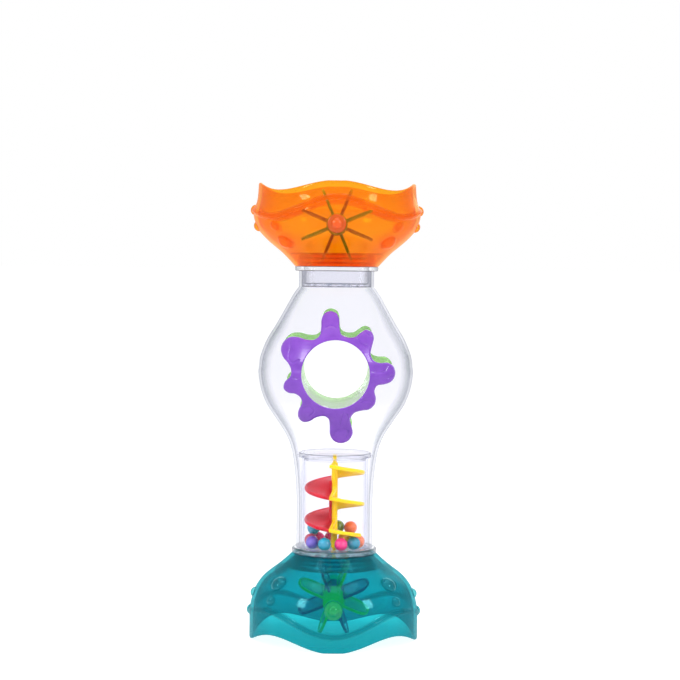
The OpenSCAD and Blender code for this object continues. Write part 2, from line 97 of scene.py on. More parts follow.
def wrappedGrid(rows, steps):
    # a closed strip of rows spun into a tube of faces; each point's height is its row's number
    bm = bmesh.new()
    verts = [bm.verts.new((1, 0, row)) for row in range(rows)]
    edges = [bm.edges.new((verts[i], verts[(i + 1) % rows])) for i in range(rows)]
    bmesh.ops.spin(bm, geom=verts + edges, cent=(0, 0, 0), axis=(0, 0, 1),
                   angle=math.tau, steps=steps, use_merge=True)
    return bm


def placeGrid(bm, place):
    for vert in bm.verts:
        vert.co = Vector(place(round(vert.co.z), math.atan2(vert.co.y, vert.co.x))) * mm


def spunProfile(profile, steps, axis="Z", centre=(0, 0, 0), closed=True):
    # a profile of (radius, place along the axis) turned round Z or Y
    bm = bmesh.new()
    verts = [bm.verts.new((r * mm, 0, z * mm)) for r, z in profile]
    edges = [bm.edges.new(pair) for pair in zip(verts, verts[1:])]
    if closed:
        edges.append(bm.edges.new((verts[-1], verts[0])))
    bmesh.ops.spin(bm, geom=verts + edges, cent=(0, 0, 0), axis=(0, 0, 1),
                   angle=math.tau, steps=steps, use_merge=True)
    if axis == "Y":
        for vert in bm.verts:
            vert.co = Vector((vert.co.x, -vert.co.z, vert.co.y))
    bmesh.ops.translate(bm, verts=bm.verts, vec=Vector(centre) * mm)
    return bm


def toObject(bm, name):
    bmesh.ops.remove_doubles(bm, verts=bm.verts, dist=2e-6)
    bmesh.ops.dissolve_degenerate(bm, edges=bm.edges, dist=1e-7)
    bmesh.ops.recalc_face_normals(bm, faces=bm.faces)
    mesh = bpy.data.meshes.new(name)
    bm.to_mesh(mesh)
    bm.free()
    obj = bpy.data.objects.new(name, mesh)
    bpy.context.scene.collection.objects.link(obj)
    return obj


def applyModifiers(obj):
    depsgraph = bpy.context.evaluated_depsgraph_get()
    mesh = bpy.data.meshes.new_from_object(obj.evaluated_get(depsgraph))
    obj.modifiers.clear()
    old = obj.data
    obj.data = mesh
    bpy.data.meshes.remove(old)


def joinShapes(obj, tools, operation):
    # one exact boolean for each tool, which is then removed
    for tool in tools:
        cut = obj.modifiers.new("cut", "BOOLEAN")
        cut.operation = operation
        cut.solver = "EXACT"
        cut.object = tool
        applyModifiers(obj)
        bpy.data.objects.remove(tool)


def finishPiece(obj, body, material, nodes, sharpAngle=35):
    obj.data.materials.clear()
    obj.data.materials.append(material)
    obj.data.polygons.foreach_set("use_smooth", [True] * len(obj.data.polygons))
    obj.data.set_sharp_from_angle(angle=math.radians(sharpAngle))
    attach(obj, body)
    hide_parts(*nodes)
    return obj


# Sizes of the stack, in millimetres from the surface that the toy stands on
stack = {
    "lowerCup": 42.7, "stem": 46.0, "stemEnd": 69.0, "bulb": 133.0, "tunnel": 134.4, "neck": 176.1,
    "neckTop": 184.0, "upperSeat": 186.4, "top": 227.6,
}

# Clear body: outer radius at heights, the same curve that the frame has
housing = {
    "stemRadius": 19.1, "bulbRadius": 38.7, "neckRadius": 18.8, "wall": 1.3,
    "lowShares": [(0, 0), (.192, .036), (.381, .122), (.506, .265), (.631, .520), (.758, .791),
                  (.883, .944), (1, 1)],
    "highShares": [(.080, .985), (.200, .950), (.385, .794), (.571, .553), (.775, .305),
                   (.900, .155), (.965, .060), (1, 0)],
    "steps": 192,
}


def housingCurve(steps=5):
    h = housing
    knots = [(h["stemRadius"] + s * (h["bulbRadius"] - h["stemRadius"]),
              stack["stemEnd"] + t * (stack["bulb"] - stack["stemEnd"])) for t, s in h["lowShares"]]
    knots += [(h["neckRadius"] + s * (h["bulbRadius"] - h["neckRadius"]),
               stack["bulb"] + t * (stack["neck"] - stack["bulb"])) for t, s in h["highShares"]]
    return ([Vector((h["stemRadius"], stack["stem"]))] + smoothCurve(knots, steps)
            + [Vector((h["neckRadius"], stack["neckTop"]))])


bodyCurve = housingCurve()
bodyInside = movedCurve(bodyCurve, housing["wall"])
tunnel = {"bore": 16.5, "wall": 1.2, "glue": 0.05, "steps": 160}


def bulbDepth(x, z, lift=0.0):
    # how far the bulb's surface, raised by lift, lies from the plane y = 0
    reach = radiusAt(bodyCurve, z)
    slope = (radiusAt(bodyCurve, z + 0.5) - radiusAt(bodyCurve, z - 0.5))
    reach += lift * math.sqrt(1 + slope * slope)
    return math.sqrt(max(0.0, reach * reach - x * x))


# Materials

def plasticSurface(tree, scale, strength):
    # faint flow marks of a moulded part, a few millimetres across, that only shift the highlights
    coords = addNode(tree, "ShaderNodeTexCoord")
    noise = addNode(tree, "ShaderNodeTexNoise", {"Vector": coords.outputs["Object"]},
                    Scale=1000 / scale, Detail=3.0, Roughness=0.55)
    bump = addNode(tree, "ShaderNodeBump", {"Height": noise.outputs["Fac"]},
                   Strength=strength, Distance=0.0004)
    return noise, bump


def seeThroughPlastic(name, finish, mask=None):
    # injection moulded styrene that lets light through: pale where it faces the eye, deeper at
    # its edges, where the eye looks along the wall, with some body colour of its own. In tinted
    # walls the deeper edge is the longer path through the colour; in clear walls its grey is
    # painted shade, for the darker room that a thick wall bends into view
    f = finish
    material = bpy.data.materials.new(name)
    material.use_nodes = True
    tree = material.node_tree
    tree.nodes.clear()
    noise, bump = plasticSurface(tree, 9.0, 0.12)
    weight = addNode(tree, "ShaderNodeLayerWeight", {"Normal": bump.outputs["Normal"]}, Blend=0.42)
    deeper = weight.outputs["Facing"]
    if f.get("line"):
        # painted shade: level faces stay pale, and the small slanting faces along the edges draw a thin dark
        # line, the shade that such faces bend in
        coords = addNode(tree, "ShaderNodeTexCoord")
        parts = addNode(tree, "ShaderNodeSeparateXYZ", {0: coords.outputs["Normal"]})
        level = addNode(tree, "ShaderNodeMath", {0: parts.outputs[2]}, operation="ABSOLUTE")
        slant = addNode(tree, "ShaderNodeValToRGB", {"Fac": level.outputs[0]})
        for position, shade in ((0.12, 0.0), (0.35, 1.0), (0.9, 1.0), (0.98, 0.0)):
            spot = slant.color_ramp.elements.new(position)
            spot.color = (shade, shade, shade, 1)
        slant.color_ramp.elements[-1].color = (0, 0, 0, 1)
        upright = addNode(tree, "ShaderNodeMath", {1: level.outputs[0]}, operation="SUBTRACT")
        upright.inputs[0].default_value = 1.0
        calm = addNode(tree, "ShaderNodeMath", {0: deeper, 1: upright.outputs[0]}, operation="MULTIPLY")
        line = addNode(tree, "ShaderNodeMath", {0: slant.outputs[0]}, operation="MULTIPLY")
        line.inputs[1].default_value = f["line"]
        deeper = addNode(tree, "ShaderNodeMath", {0: calm.outputs[0], 1: line.outputs[0]},
                         operation="MAXIMUM").outputs[0]
    if f.get("ribShadeGap"):
        # painted shade: dark lines round the ring, so many millimetres apart, for the lines that its stacked
        # ribs show
        coords = addNode(tree, "ShaderNodeTexCoord")
        turns = addNode(tree, "ShaderNodeTexWave", {"Vector": coords.outputs["Object"]},
                        Scale=100 * math.pi / f["ribShadeGap"], bands_direction="Z")
        deeper = addNode(tree, "ShaderNodeMath", {0: deeper, 1: turns.outputs["Fac"]},
                         operation="MAXIMUM").outputs[0]
    if f.get("cup"):
        # along a cup's ridge the wall turns to its deeper edge colour: painted shade of the ridge's step, with
        # some of the thicker wall there
        band = addNode(tree, "ShaderNodeMath", {0: ridgeBand(tree, f["cup"])}, operation="MULTIPLY")
        band.inputs[1].default_value = f["ridge"]
        deeper = addNode(tree, "ShaderNodeMath", {0: deeper, 1: band.outputs[0]},
                         operation="MAXIMUM").outputs[0]
    ramp = addNode(tree, "ShaderNodeValToRGB", {"Fac": deeper})
    ramp.color_ramp.elements[0].color = hexColor(f["wall"])
    ramp.color_ramp.elements[0].position = f.get("edgeFrom", 0.30)
    ramp.color_ramp.elements[1].color = hexColor(f["edge"])
    ramp.color_ramp.elements[1].position = 0.97
    bending = addNode(tree, "ShaderNodeBsdfPrincipled",
                      {"Base Color": ramp.outputs["Color"], "Normal": bump.outputs["Normal"]},
                      Roughness=f["rough"] * 0.5, IOR=1.49)
    bending.inputs["Transmission Weight"].default_value = 1.0
    bending.inputs["Specular Tint"].default_value = hexColor(f["shine"])
    # each of a wall's two faces takes half of its colour
    half = addNode(tree, "ShaderNodeGamma", {"Color": ramp.outputs["Color"]}, Gamma=0.5)
    if f["body"]:
        straight = addNode(tree, "ShaderNodeBsdfTransparent", {"Color": half.outputs["Color"]})
    else:
        straight = addNode(tree, "ShaderNodeBsdfRefraction", {"Color": half.outputs["Color"]},
                           IOR=1.0, Roughness=0.0)
    roughness = addNode(tree, "ShaderNodeMapRange", {"Value": noise.outputs["Fac"]})
    roughness.inputs["To Min"].default_value = f["rough"] * 0.6
    roughness.inputs["To Max"].default_value = f["rough"] * 1.4
    shine = addNode(tree, "ShaderNodeBsdfGlossy", {"Roughness": roughness.outputs["Result"],
                                                   "Normal": bump.outputs["Normal"]},
                    Color=hexColor(f["shine"]))
    # Schlick's curve, the same from both sides of a wall: the room is darker than its white
    # backdrop, so less than the whole shows where a wall faces the eye
    edgeOn = addNode(tree, "ShaderNodeLayerWeight", Blend=0.5)
    power = addNode(tree, "ShaderNodeMath", {0: edgeOn.outputs["Facing"]}, operation="POWER")
    power.inputs[1].default_value = 5.0
    mirror = addNode(tree, "ShaderNodeMath", {0: power.outputs[0]}, operation="MULTIPLY_ADD")
    mirror.inputs[1].default_value = f["mirror"]
    mirror.inputs[2].default_value = 0.04 * f["facing"]
    skin = addNode(tree, "ShaderNodeMixShader", {0: mirror.outputs[0], 1: straight.outputs[0],
                                                 2: shine.outputs[0]})
    wall = addNode(tree, "ShaderNodeMixShader", {1: bending.outputs[0], 2: skin.outputs[0]},
                   Fac=f["straight"])
    if f["body"]:
        lit = addNode(tree, "ShaderNodeBsdfPrincipled", {"Normal": bump.outputs["Normal"]}, IOR=1.49,
                      Roughness=0.2)
        lit.inputs["Specular IOR Level"].default_value = 0.2
        lit.inputs["Base Color"].default_value = hexColor(f["body"])
        through = addNode(tree, "ShaderNodeBsdfTranslucent", Color=hexColor(f["body"]))
        cloud = addNode(tree, "ShaderNodeMixShader", {1: lit.outputs[0], 2: through.outputs[0]}, Fac=0.5)
        wall = addNode(tree, "ShaderNodeMixShader", {1: wall.outputs[0], 2: cloud.outputs[0]},
                       Fac=f["cloud"])
        if mask:
            tree.links.new(mask(tree, f), wall.inputs[0])
    # light that has crossed too many walls comes back as the glow of the room, not black
    light = addNode(tree, "ShaderNodeLightPath")
    lost = None
    for output, most in (("Transparent Depth", 7.5), ("Glossy Depth", 3.5), ("Ray Depth", 10.5)):
        over = addNode(tree, "ShaderNodeMath", {0: light.outputs[output]}, operation="GREATER_THAN")
        over.inputs[1].default_value = most
        lost = over.outputs[0] if lost is None else addNode(
            tree, "ShaderNodeMath", {0: lost, 1: over.outputs[0]}, operation="MAXIMUM").outputs[0]
    glow = addNode(tree, "ShaderNodeEmission", Color=hexColor(f["deep"]), Strength=1.0)
    inside = addNode(tree, "ShaderNodeMixShader", {0: lost, 1: wall.outputs[0], 2: glow.outputs[0]})
    passing = addNode(tree, "ShaderNodeBsdfTransparent", Color=hexColor(f["shade"]))
    mix = addNode(tree, "ShaderNodeMixShader", {0: light.outputs["Is Shadow Ray"],
                                                1: inside.outputs[0], 2: passing.outputs[0]})
    addNode(tree, "ShaderNodeOutputMaterial", {"Surface": mix.outputs[0]})
    return material


def ridgeBand(tree, cup):
    # one along a cup's ridge line, at the heights that ridgeHeight gives
    coords = addNode(tree, "ShaderNodeTexCoord")
    parts = addNode(tree, "ShaderNodeSeparateXYZ", {0: coords.outputs["Object"]})
    across, along = [addNode(tree, "ShaderNodeMath", {0: parts.outputs[k], 1: parts.outputs[k]},
                             operation="MULTIPLY").outputs[0] for k in (0, 1)]
    difference = addNode(tree, "ShaderNodeMath", {0: along, 1: across}, operation="SUBTRACT")
    total = addNode(tree, "ShaderNodeMath", {0: along, 1: across}, operation="ADD")
    wave = addNode(tree, "ShaderNodeMath", {0: difference.outputs[0], 1: total.outputs[0]},
                   operation="DIVIDE").outputs[0]
    square = addNode(tree, "ShaderNodeMath", {0: wave, 1: wave}, operation="MULTIPLY").outputs[0]
    size = cup["up"] * cup["height"] * mm
    bend = addNode(tree, "ShaderNodeMath", {0: square}, operation="MULTIPLY_ADD")
    bend.inputs[1].default_value = -0.150 * size
    bend.inputs[2].default_value = cup["foot"] * mm + 0.405 * size
    height = addNode(tree, "ShaderNodeMath", {0: wave, 2: bend.outputs[0]}, operation="MULTIPLY_ADD")
    height.inputs[1].default_value = -0.068 * size
    away = addNode(tree, "ShaderNodeMath", {0: parts.outputs[2], 1: height.outputs[0]},
                   operation="SUBTRACT")
    far = addNode(tree, "ShaderNodeMath", {0: away.outputs[0]}, operation="ABSOLUTE")
    band = addNode(tree, "ShaderNodeMapRange", {"Value": far.outputs[0]})
    for socket, value in (("From Min", 2.6 * mm), ("From Max", 0.7 * mm), ("To Min", 0), ("To Max", 1)):
        band.inputs[socket].default_value = value
    return band.outputs[0]


def skirtMask(tree, finish):
    # a cup's wall takes more of its body colour towards its rim, and along its ridge, partly for the thicker
    # wall there and partly as painted shade of the ridge's step
    cup = finish["cup"]
    coords = addNode(tree, "ShaderNodeTexCoord")
    parts = addNode(tree, "ShaderNodeSeparateXYZ", {0: coords.outputs["Object"]})
    share = addNode(tree, "ShaderNodeMapRange", {"Value": parts.outputs[2]})
    for socket, value in (("From Min", cup["foot"] * mm),
                          ("From Max", (cup["foot"] + cup["up"] * finish["skirt"]) * mm),
                          ("To Min", finish["rimCloud"]), ("To Max", finish["cloud"])):
        share.inputs[socket].default_value = value
    band = addNode(tree, "ShaderNodeMath", {0: ridgeBand(tree, cup)}, operation="MULTIPLY")
    band.inputs[1].default_value = 0.36
    return addNode(tree, "ShaderNodeMath", {0: share.outputs[0], 1: band.outputs[0]},
                   operation="MAXIMUM").outputs[0]


def paddleRim(tree, finish):
    # a paddle holds the most colour in its raised rim and at the hub, and its middle stays clear; the rim's
    # bright colour is partly its thickness and partly painted light, the glow that the rim pipes
    coords = addNode(tree, "ShaderNodeTexCoord")
    centred = addNode(tree, "ShaderNodeMapping", {"Vector": coords.outputs["Object"]})
    centred.inputs["Location"].default_value = (0, 0, -finish["axle"] * mm)
    parts = addNode(tree, "ShaderNodeSeparateXYZ", {0: centred.outputs[0]})
    flat = addNode(tree, "ShaderNodeCombineXYZ", {0: parts.outputs[0], 2: parts.outputs[2]})
    reach = addNode(tree, "ShaderNodeVectorMath", {0: flat.outputs[0]}, operation="LENGTH")
    sides = []
    for source, size, power in ((reach.outputs["Value"], wheel["radius"], 4),
                                (parts.outputs[1], wheel["halfWidth"], 5)):
        share = addNode(tree, "ShaderNodeMath", {0: source}, operation="DIVIDE")
        share.inputs[1].default_value = size * mm
        whole = addNode(tree, "ShaderNodeMath", {0: share.outputs[0]}, operation="ABSOLUTE")
        raised = addNode(tree, "ShaderNodeMath", {0: whole.outputs[0]}, operation="POWER")
        raised.inputs[1].default_value = power
        sides.append(raised.outputs[0])
    total = addNode(tree, "ShaderNodeMath", {0: sides[0], 1: sides[1]}, operation="ADD")
    rim = addNode(tree, "ShaderNodeMapRange", {"Value": total.outputs[0]})
    hub = addNode(tree, "ShaderNodeMapRange", {"Value": reach.outputs["Value"]})
    for node, low, high in ((rim, 0.66, 0.82), (hub, 0.0066, 0.0054)):
        node.inputs["From Min"].default_value = low
        node.inputs["From Max"].default_value = high
        node.inputs["To Min"].default_value = finish["cloud"]
        node.inputs["To Max"].default_value = 0.92
    return addNode(tree, "ShaderNodeMath", {0: rim.outputs[0], 1: hub.outputs[0]},
                   operation="MAXIMUM").outputs[0]


def glossPlastic(name, color, deep, rough=0.16, flow=7.0, coat=0.15, scatter=0.0, shine=0.35):
    # opaque moulded styrene with a bright skin; the pigment clouds a little
    material = bpy.data.materials.new(name)
    material.use_nodes = True
    tree = material.node_tree
    tree.nodes.clear()
    noise, bump = plasticSurface(tree, flow, 0.10)
    ramp = addNode(tree, "ShaderNodeValToRGB", {"Fac": noise.outputs["Fac"]})
    ramp.color_ramp.elements[0].color = hexColor(deep)
    ramp.color_ramp.elements[0].position = 0.30
    ramp.color_ramp.elements[1].color = hexColor(color)
    ramp.color_ramp.elements[1].position = 0.62
    roughness = addNode(tree, "ShaderNodeMapRange", {"Value": noise.outputs["Fac"]})
    roughness.inputs["To Min"].default_value = rough * 0.7
    roughness.inputs["To Max"].default_value = rough * 1.3
    shader = addNode(tree, "ShaderNodeBsdfPrincipled",
                     {"Base Color": ramp.outputs["Color"], "Roughness": roughness.outputs["Result"],
                      "Normal": bump.outputs["Normal"]}, IOR=1.57)
    shader.inputs["Specular IOR Level"].default_value = shine
    shader.inputs["Coat Weight"].default_value = coat
    shader.inputs["Coat Roughness"].default_value = 0.06
    shader.inputs["Subsurface Weight"].default_value = scatter
    shader.inputs["Subsurface Scale"].default_value = 0.0015
    addNode(tree, "ShaderNodeOutputMaterial", {"Surface": shader.outputs[0]})
    return material


finishes = {
    # wall: colour of light through one wall; straight: how much passes without bending;
    # cloud: share of its own body colour; shade: light that it lets through to the rest
    # facing and mirror: gloss where a wall faces the eye and where it is seen along
    # edge: colour where a wall is seen along; in the clear finishes this grey is painted shade
    "clear": {"wall": "#F7F7FB", "edge": "#8E94A6", "body": None, "rough": 0.04, "straight": 0.995,
              "facing": 0.12, "mirror": 0.6, "deep": "#ECEEF4", "edgeFrom": 0.42,
              "shine": "#F8F8FA", "shade": "#FEFEFF"},
    "clearTube": {"wall": "#F8F8FC", "edge": "#CDD0DC", "body": None, "rough": 0.04, "straight": 0.995,
                  "facing": 0.12, "mirror": 0.5, "deep": "#F0F2F8", "edgeFrom": 0.45,
                  "shine": "#F8F8FA", "shade": "#FEFEFF"},
    # clearFine: its dark edge colour and its line are painted shade
    "clearFine": {"wall": "#F7F7FA", "edge": "#525868", "body": None, "rough": 0.03, "straight": 0.9,
                  "facing": 0.4, "mirror": 0.7, "deep": "#EEF1F6", "edgeFrom": 0.3,
                  "shine": "#F8F8FA", "shade": "#FCFCFD", "line": 0.9},
    # ridge: depth of the painted shade along a cup's ridge; skirt and rimCloud: more body colour towards the
    # rim
    "orange": {"wall": "#FFC220", "edge": "#EE6A06", "body": "#FF8C04", "rough": 0.08, "straight": 0.94,
               "facing": 0.7, "mirror": 0.8, "cloud": 0.08, "deep": "#FF8808", "shine": "#FFD0A0",
               "shade": "#FFE2B4", "skirt": 19.0, "rimCloud": 0.22, "ridge": 0.85},
    "orangeDeep": {"wall": "#FFC030", "edge": "#E86408", "body": "#FA7C08", "rough": 0.07,
                   "straight": 0.8, "facing": 0.9, "mirror": 1.0, "cloud": 0.09, "deep": "#F07408",
                   "shine": "#FFD4A4", "shade": "#FFDCA8"},
    "teal": {"wall": "#28C4D0", "edge": "#007E8A", "body": "#00A0B0", "rough": 0.08, "straight": 0.96,
             "facing": 0.6, "mirror": 0.4, "cloud": 0.11, "deep": "#049CA8", "shine": "#8CE8F0",
             "shade": "#F0F6F6", "skirt": 17.0, "rimCloud": 0.48, "ridge": 0.76},
    "tealDeep": {"wall": "#70DCE0", "edge": "#04707C", "body": "#00929E", "rough": 0.07,
                 "straight": 0.85, "facing": 0.9, "mirror": 1.0, "cloud": 0.09, "deep": "#048894",
                 "shine": "#9CF0F4", "shade": "#E0F0F0"},
    "orangeBoss": {"wall": "#FFC030", "edge": "#E86408", "body": "#FF8C20", "rough": 0.10,
                   "straight": 0.9, "facing": 2.0, "mirror": 1.0, "cloud": 0.34, "deep": "#F07408",
                   "shine": "#FFE4C4", "shade": "#FFDCA8"},
    # tealBoss: its green is painted light, the glow of the green hub seen through the boss, painted into the
    # teal
    "tealBoss": {"wall": "#40F0C0", "edge": "#048C74", "body": "#04F4A0", "rough": 0.07,
                 "straight": 0.94, "facing": 1.3, "mirror": 1.0, "cloud": 0.30, "deep": "#04A088",
                 "shine": "#D0FFF4", "shade": "#E0F8F0"},
    "wheelGreen": {"wall": "#E4FCE8", "edge": "#58F078", "body": "#0CF834", "rough": 0.10,
                   "straight": 0.9, "facing": 0.8, "mirror": 0.9, "cloud": 0.10, "deep": "#50E870",
                   "shine": "#F0FFF2", "shade": "#E8FFEC"},
    "wheelPurple": {"wall": "#F6ECFA", "edge": "#B868B8", "body": "#CC3C9C", "rough": 0.10,
                    "straight": 0.9, "facing": 0.8, "mirror": 0.9, "cloud": 0.10, "deep": "#9060B0",
                    "shine": "#FAF4FF", "shade": "#F4ECFC"},
}
clearPlastic = seeThroughPlastic("clear_styrene", finishes["clear"])
clearTube = seeThroughPlastic("clear_styrene_tube", finishes["clearTube"])
clearFine = seeThroughPlastic("clear_styrene_fine", finishes["clearFine"])
orangeDeep = seeThroughPlastic("orange_styrene_thick", finishes["orangeDeep"])
tealDeep = seeThroughPlastic("teal_styrene_thick", finishes["tealDeep"])
orangeBoss = seeThroughPlastic("orange_styrene_boss", finishes["orangeBoss"])
tealBoss = seeThroughPlastic("teal_styrene_boss", finishes["tealBoss"])
# the dark lines round the ribbed clip rings are painted shade
orangeRing = seeThroughPlastic("orange_styrene_ribbed", {**finishes["orangeDeep"], "ribShadeGap": 2.2})
tealRing = seeThroughPlastic("teal_styrene_ribbed", {**finishes["tealDeep"], "ribShadeGap": 2.2})
purpleTrim = glossPlastic("purple_trim", "#9450DC", "#8744D0", 0.24)
greenTrim = glossPlastic("green_trim", "#A2DC7C", "#96D06E", 0.24)
whitePin = glossPlastic("white_pin", "#F2F2EE", "#E8E8E2", 0.3)
greenPin = glossPlastic("green_pin", "#60FF84", "#50F878", 0.3)
yellowSpiral = glossPlastic("yellow_spiral", "#FFDC20", "#FFD214", 0.3, coat=0.02, shine=0.06,
                            scatter=0.2)
redSpiral = glossPlastic("red_spiral", "#D0202F", "#C01A2A", 0.3, coat=0.02, shine=0.04, scatter=0.1)
print("materials ready")


# Cups

upperCup = {
    "name": "upper_cup_shell", "radius": 41.8, "height": 41.2, "wave": 4.4, "axle": 20.6, "foot": stack["top"], "up": -1,
    "shares": [(0, .498), (.153, .641), (.282, .794), (.380, .893), (.451, .945), (.550, .984),
               (.650, 1), (.700, .985), (.760, .960), (.850, .945), (1, .936)],
}
lowerCup = {
    "name": "lower_cup_shell", "radius": 42.2, "height": 42.7, "wave": 6.4, "axle": 20.6, "foot": 0.0, "up": 1,
    "shares": [(0, .500), (.101, .612), (.171, .701), (.230, .781), (.290, .848), (.361, .903),
               (.431, .940), (.562, .982), (.680, 1), (.800, 1), (1, 1)],
}
cupDetail = {
    "wall": 1.8, "ridgeOut": 0.9, "ridgeHalf": 1.9, "steps": 224, "bowlRows": 26, "skirtRows": 9,
    # rows of nubs: share of the cup's height, radius, how far out, angles from the front
    "nubs": [(0.532, 2.5, 1.5, (50, 90, 130, -50, -90, -130)), (0.720, 4.2, 2.2, (50, 130, -50, -130)),
             (0.323, 2.5, 1.5, (90, -90))],
    "bossRadius": 4.5, "bossOut": 1.2, "bossIn": 3.2,
    "ball": 3.3, "socket": 2.08,
}


def rimHeight(cup, angle):
    # angle is counted from the front, in radians
    return max(0.0, cup["wave"] * ((1 - math.cos(4 * angle)) / 2 - 0.06))


def ridgeHeight(cup, angle):
    return cup["height"] * (0.330 - 0.068 * math.cos(2 * angle) - 0.075 * math.cos(4 * angle))


def domeShape(radius, out, foot, spot, direction):
    # a shallow ball cap on a short round foot, its edge slightly soft
    ball = (radius * radius + out * out) / (2 * out)
    low = math.acos((ball - out) / ball)
    profile = [(0, -foot), (radius, -foot)]
    profile += [(ball * math.sin(low * t / 10), out - ball + ball * math.cos(low * t / 10))
                for t in range(10, -1, -1)]
    bm = spunProfile(profile, 40, closed=False)
    turn = direction.to_track_quat("Z", "Y").to_matrix()
    bmesh.ops.rotate(bm, verts=bm.verts, cent=(0, 0, 0), matrix=turn)
    bmesh.ops.translate(bm, verts=bm.verts, vec=spot * mm)
    return bm


def joinMeshes(pieces, name):
    # several closed shells in one mesh
    joined = bmesh.new()
    for piece in pieces:
        joined.from_mesh(piece.data)
        bpy.data.objects.remove(piece)
    return toObject(joined, name)


def makeCup(cup, material, thickMaterial, bossMaterial, body, node):
    d = cupDetail
    height = cup["height"]
    curve = smoothCurve([(r * cup["radius"], h * height) for h, r in cup["shares"]], 5)
    inside = movedCurve(curve, d["wall"])
    # rows of the closed section: bowl, ridge line, skirt, rim, and back up inside
    rows = [("bowl", i / d["bowlRows"]) for i in range(d["bowlRows"] + 1)]
    rows += [("ridge", off) for off in (1.0, .8, .6, .4, .2, 0, -.2, -.4, -.6, -.8, -1.0)]
    rows += [("skirt", i / d["skirtRows"]) for i in range(1, d["skirtRows"] + 1)]
    rows += [("rim", turn) for turn in (30, 60, 90, 120, 150)]
    rows += [("inSkirt", 1 - i / d["skirtRows"]) for i in range(d["skirtRows"] + 1)]
    rows += [("inBowl", 1 - i / d["bowlRows"]) for i in range(1, d["bowlRows"] + 1)]
    lip = d["wall"] / 2

    def place(row, turn):
        kind, value = rows[row]
        front = turn + math.pi / 2
        ridge = ridgeHeight(cup, front)
        rim = rimHeight(cup, front)
        out = 0.0
        if kind in ("bowl", "inBowl"):
            z = height + (ridge + d["ridgeHalf"] * 1.25 - height) * value
        elif kind == "ridge":
            z = ridge + d["ridgeHalf"] * value
            out = d["ridgeOut"] * math.cos(value * math.pi / 2) ** 1.2
        else:
            z = ridge - d["ridgeHalf"] * 1.25
            z += (rim + lip - z) * (value if kind != "rim" else 1)
        if kind in ("inBowl", "inSkirt"):
            r = radiusAt(inside, height - z) if z < height - 0.01 else inside[0].x
        else:
            r = radiusAt(curve, height - z) + out
        if kind == "rim":
            swing = math.radians(value)
            r += lip * (math.cos(swing) - 1)
            z = rim + lip * (1 - math.sin(swing))
        z = cup["foot"] + cup["up"] * z
        return r * math.cos(turn), r * math.sin(turn), z

    bm = wrappedGrid(len(rows), d["steps"])
    placeGrid(bm, place)
    shell = toObject(bm, cup["name"])

    # nubs with their feet in the wall, square to it, and the bosses that hold the axle
    nubs = []
    for shareUp, radius, out, angles in d["nubs"]:
        seat = height * (1 - shareUp)
        r = radiusAt(curve, seat)
        lean = math.atan((radiusAt(curve, seat + d["wall"]) - radiusAt(curve, seat - d["wall"]))
                         / (2 * d["wall"]))
        for angle in angles:
            a = math.radians(angle) - math.pi / 2
            out3 = Vector((math.cos(a) * math.cos(lean), math.sin(a) * math.cos(lean),
                           cup["up"] * math.sin(lean)))
            spot = Vector((r * math.cos(a), r * math.sin(a), cup["foot"] + cup["up"] * height * shareUp))
            nubs.append(toObject(domeShape(radius, out, d["wall"] / 2, spot, out3), "nub"))
    finishPiece(joinMeshes(nubs, cup["name"] + "_nubs"), body, thickMaterial, [node])
    face = radiusAt(curve, height - cup["axle"])
    low = face - d["wall"] - d["bossIn"]
    high = face + d["bossOut"]
    ballPlace = high - d["ball"] / 2
    capStart = math.asin((high - ballPlace) / d["ball"])
    profile = [(0, low), (d["bossRadius"] - .3, low), (d["bossRadius"], low + .3),
               (d["bossRadius"], high - .7), (d["bossRadius"] - .2, high - .25),
               (d["bossRadius"] - .7, high)]
    for i in range(9):
        a = capStart + (math.pi / 2 - capStart) * i / 8
        profile.append((d["ball"] * math.cos(a), ballPlace + d["ball"] * math.sin(a)))
    axleZ = cup["foot"] + cup["up"] * cup["axle"]
    sides = [spunProfile([(r, side * a) for r, a in profile], 40, "Y", (0, 0, axleZ), closed=False)
             for side in (1, -1)]
    bosses = joinMeshes([toObject(bm, "boss") for bm in sides], cup["name"] + "_bosses")
    end = face - d["wall"] / 2 + 0.3
    socket = spunProfile([(0, -end), (d["socket"], -end), (d["socket"], end), (0, end)], 32, "Y",
                         (0, 0, axleZ), closed=False)
    joinShapes(bosses, [toObject(socket.copy(), "socket")], "DIFFERENCE")
    joinShapes(shell, [toObject(socket, "socket")], "DIFFERENCE")
    finishPiece(bosses, body, bossMaterial, [node])
    print("cup made:", cup["name"], len(shell.data.polygons))
    return finishPiece(shell, body, material, [node])


orangePlastic = seeThroughPlastic("orange_styrene", {**finishes["orange"], "cup": upperCup}, skirtMask)
tealPlastic = seeThroughPlastic("teal_styrene", {**finishes["teal"], "cup": lowerCup}, skirtMask)
makeCup(upperCup, orangePlastic, orangeDeep, orangeBoss, "body", "upper_cup")
makeCup(lowerCup, tealPlastic, tealDeep, tealBoss, "body", "lower_cup")


# Clear body, tunnel and trims

def makeHousing():
    wall = [(p.x, p.y) for p in bodyCurve] + [(p.x, p.y) for p in reversed(bodyInside)]
    shell = toObject(spunProfile(wall, housing["steps"]), "clear_body")
    hole = tunnel["bore"] + tunnel["wall"] + tunnel["glue"]
    cutter = spunProfile([(0, -60), (hole, -60), (hole, 60), (0, 60)], tunnel["steps"], "Y",
                         (0, 0, stack["tunnel"]), closed=False)
    joinShapes(shell, [toObject(cutter, "hole")], "DIFFERENCE")
    return finishPiece(shell, "body", clearPlastic,
                       ["housing_front", "housing_back"])


